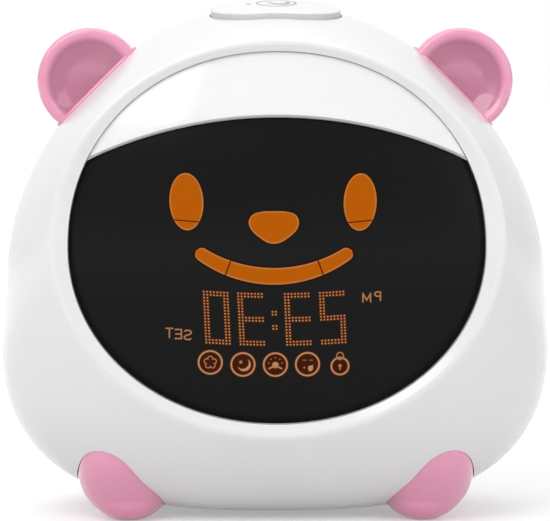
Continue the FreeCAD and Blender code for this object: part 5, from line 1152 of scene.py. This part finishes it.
studio = {
    "floor": (0.79, 0.79, 0.79),
    "floorSize": 6,
    # metres, degrees over the level and to the left, and millimetres of lens and of picture width
    "camera": {"distance": 0.8, "elevation": 4.0, "leftTurn": 0.87, "target": (0, 0, 0.0603),
               "focal": 220.3, "sensor": 36.0},
    "key": {"at": (-0.55, -0.75, 0.85), "size": 0.9, "watts": 7.8},
    "fill": {"at": (0.85, -0.65, 0.45), "size": 0.9, "watts": 3.1},
    "top": {"at": (0.0, 0.1, 1.1), "size": 0.9, "watts": 4.2},
    "roomLevel": 0.42,       # light of the room on the object
    "backdropLevel": 1.0,    # what the camera and reflections see of it
    "floorGlow": (0.34, 1.0, 0.2, 0.7),      # lift near the object, lift far off, the two distances in metres
}


# 1 for camera, glossy and transmission rays, 0 for the rest
def seenOf(tree):
    path = addNode(tree, "LightPath")
    total = path.outputs["Is Camera Ray"]
    for kind in ("Is Glossy Ray", "Is Transmission Ray"):
        add = addNode(tree, "Math")
        add.operation, add.use_clamp = "ADD", True
        tree.links.new(total, add.inputs[0])
        tree.links.new(path.outputs[kind], add.inputs[1])
        total = add.outputs["Value"]
    return total


# a floor whose glow, seen by the camera alone, rises with the way from the object's middle
def makeFloor():
    bpy.ops.mesh.primitive_plane_add(size=studio["floorSize"])
    floor = bpy.context.object
    floor.name = "floor"
    paint, tree, shader = newPaint("paleFloor")
    setInputs(shader, {"Base Color": (*studio["floor"], 1), "Roughness": 0.8, "Specular IOR Level": 0.1,
                       "Emission Color": (1, 1, 1, 1)})
    near, far, start, end = studio["floorGlow"]
    place = addNode(tree, "TexCoord")
    away = addNode(tree, "VectorMath")
    away.operation = "LENGTH"
    level = addNode(tree, "MapRange")
    level.interpolation_type = "SMOOTHSTEP"
    setInputs(level, {"From Min": start, "From Max": end, "To Min": near, "To Max": far})
    lift = addNode(tree, "Math")
    lift.operation = "MULTIPLY"
    link = tree.links.new
    link(place.outputs["Object"], away.inputs[0])
    link(away.outputs["Value"], level.inputs["Value"])
    link(seenOf(tree), lift.inputs[0])
    link(level.outputs["Result"], lift.inputs[1])
    link(lift.outputs["Value"], shader.inputs["Emission Strength"])
    floor.data.materials.append(paint)


# a white room, brighter for the camera than it lights the object
def makeRoom():
    world = bpy.data.worlds.new("softRoom")
    bpy.context.scene.world = world
    world.use_nodes = True
    tree = world.node_tree
    background = tree.nodes["Background"]
    setInputs(background, {"Color": (1, 1, 1, 1)})
    level = addNode(tree, "MapRange", {"To Min": studio["roomLevel"], "To Max": studio["backdropLevel"]})
    tree.links.new(seenOf(tree), level.inputs["Value"])
    tree.links.new(level.outputs["Result"], background.inputs["Strength"])


def makeLamps():
    for name in ("key", "fill", "top"):
        lamp = bpy.data.lights.new(name, "AREA")
        lamp.energy, lamp.size = studio[name]["watts"], studio[name]["size"]
        holder = linked(name, lamp)
        holder.location = studio[name]["at"]
        facing = Vector(studio["camera"]["target"]) - holder.location
        holder.rotation_euler = facing.to_track_quat("-Z", "Y").to_euler()


# the camera looks at its target from a distance: away = (-sin t cos e, -cos t cos e, sin e)
def makeCamera():
    shot = studio["camera"]
    lift, turn = math.radians(shot["elevation"]), math.radians(shot["leftTurn"])
    view = bpy.data.cameras.new("photoView")
    view.lens, view.sensor_width = shot["focal"], shot["sensor"]
    camera = linked("photoView", view)
    away = Vector((-math.sin(turn) * math.cos(lift), -math.cos(turn) * math.cos(lift), math.sin(lift)))
    camera.location = Vector(shot["target"]) + away * shot["distance"]
    camera.rotation_euler = (math.radians(90) - lift, 0, -turn)
    bpy.context.scene.camera = camera
    bpy.context.scene.view_settings.view_transform = "Standard"


makeFloor()
makeRoom()
makeLamps()
makeCamera()
print("studio ready")
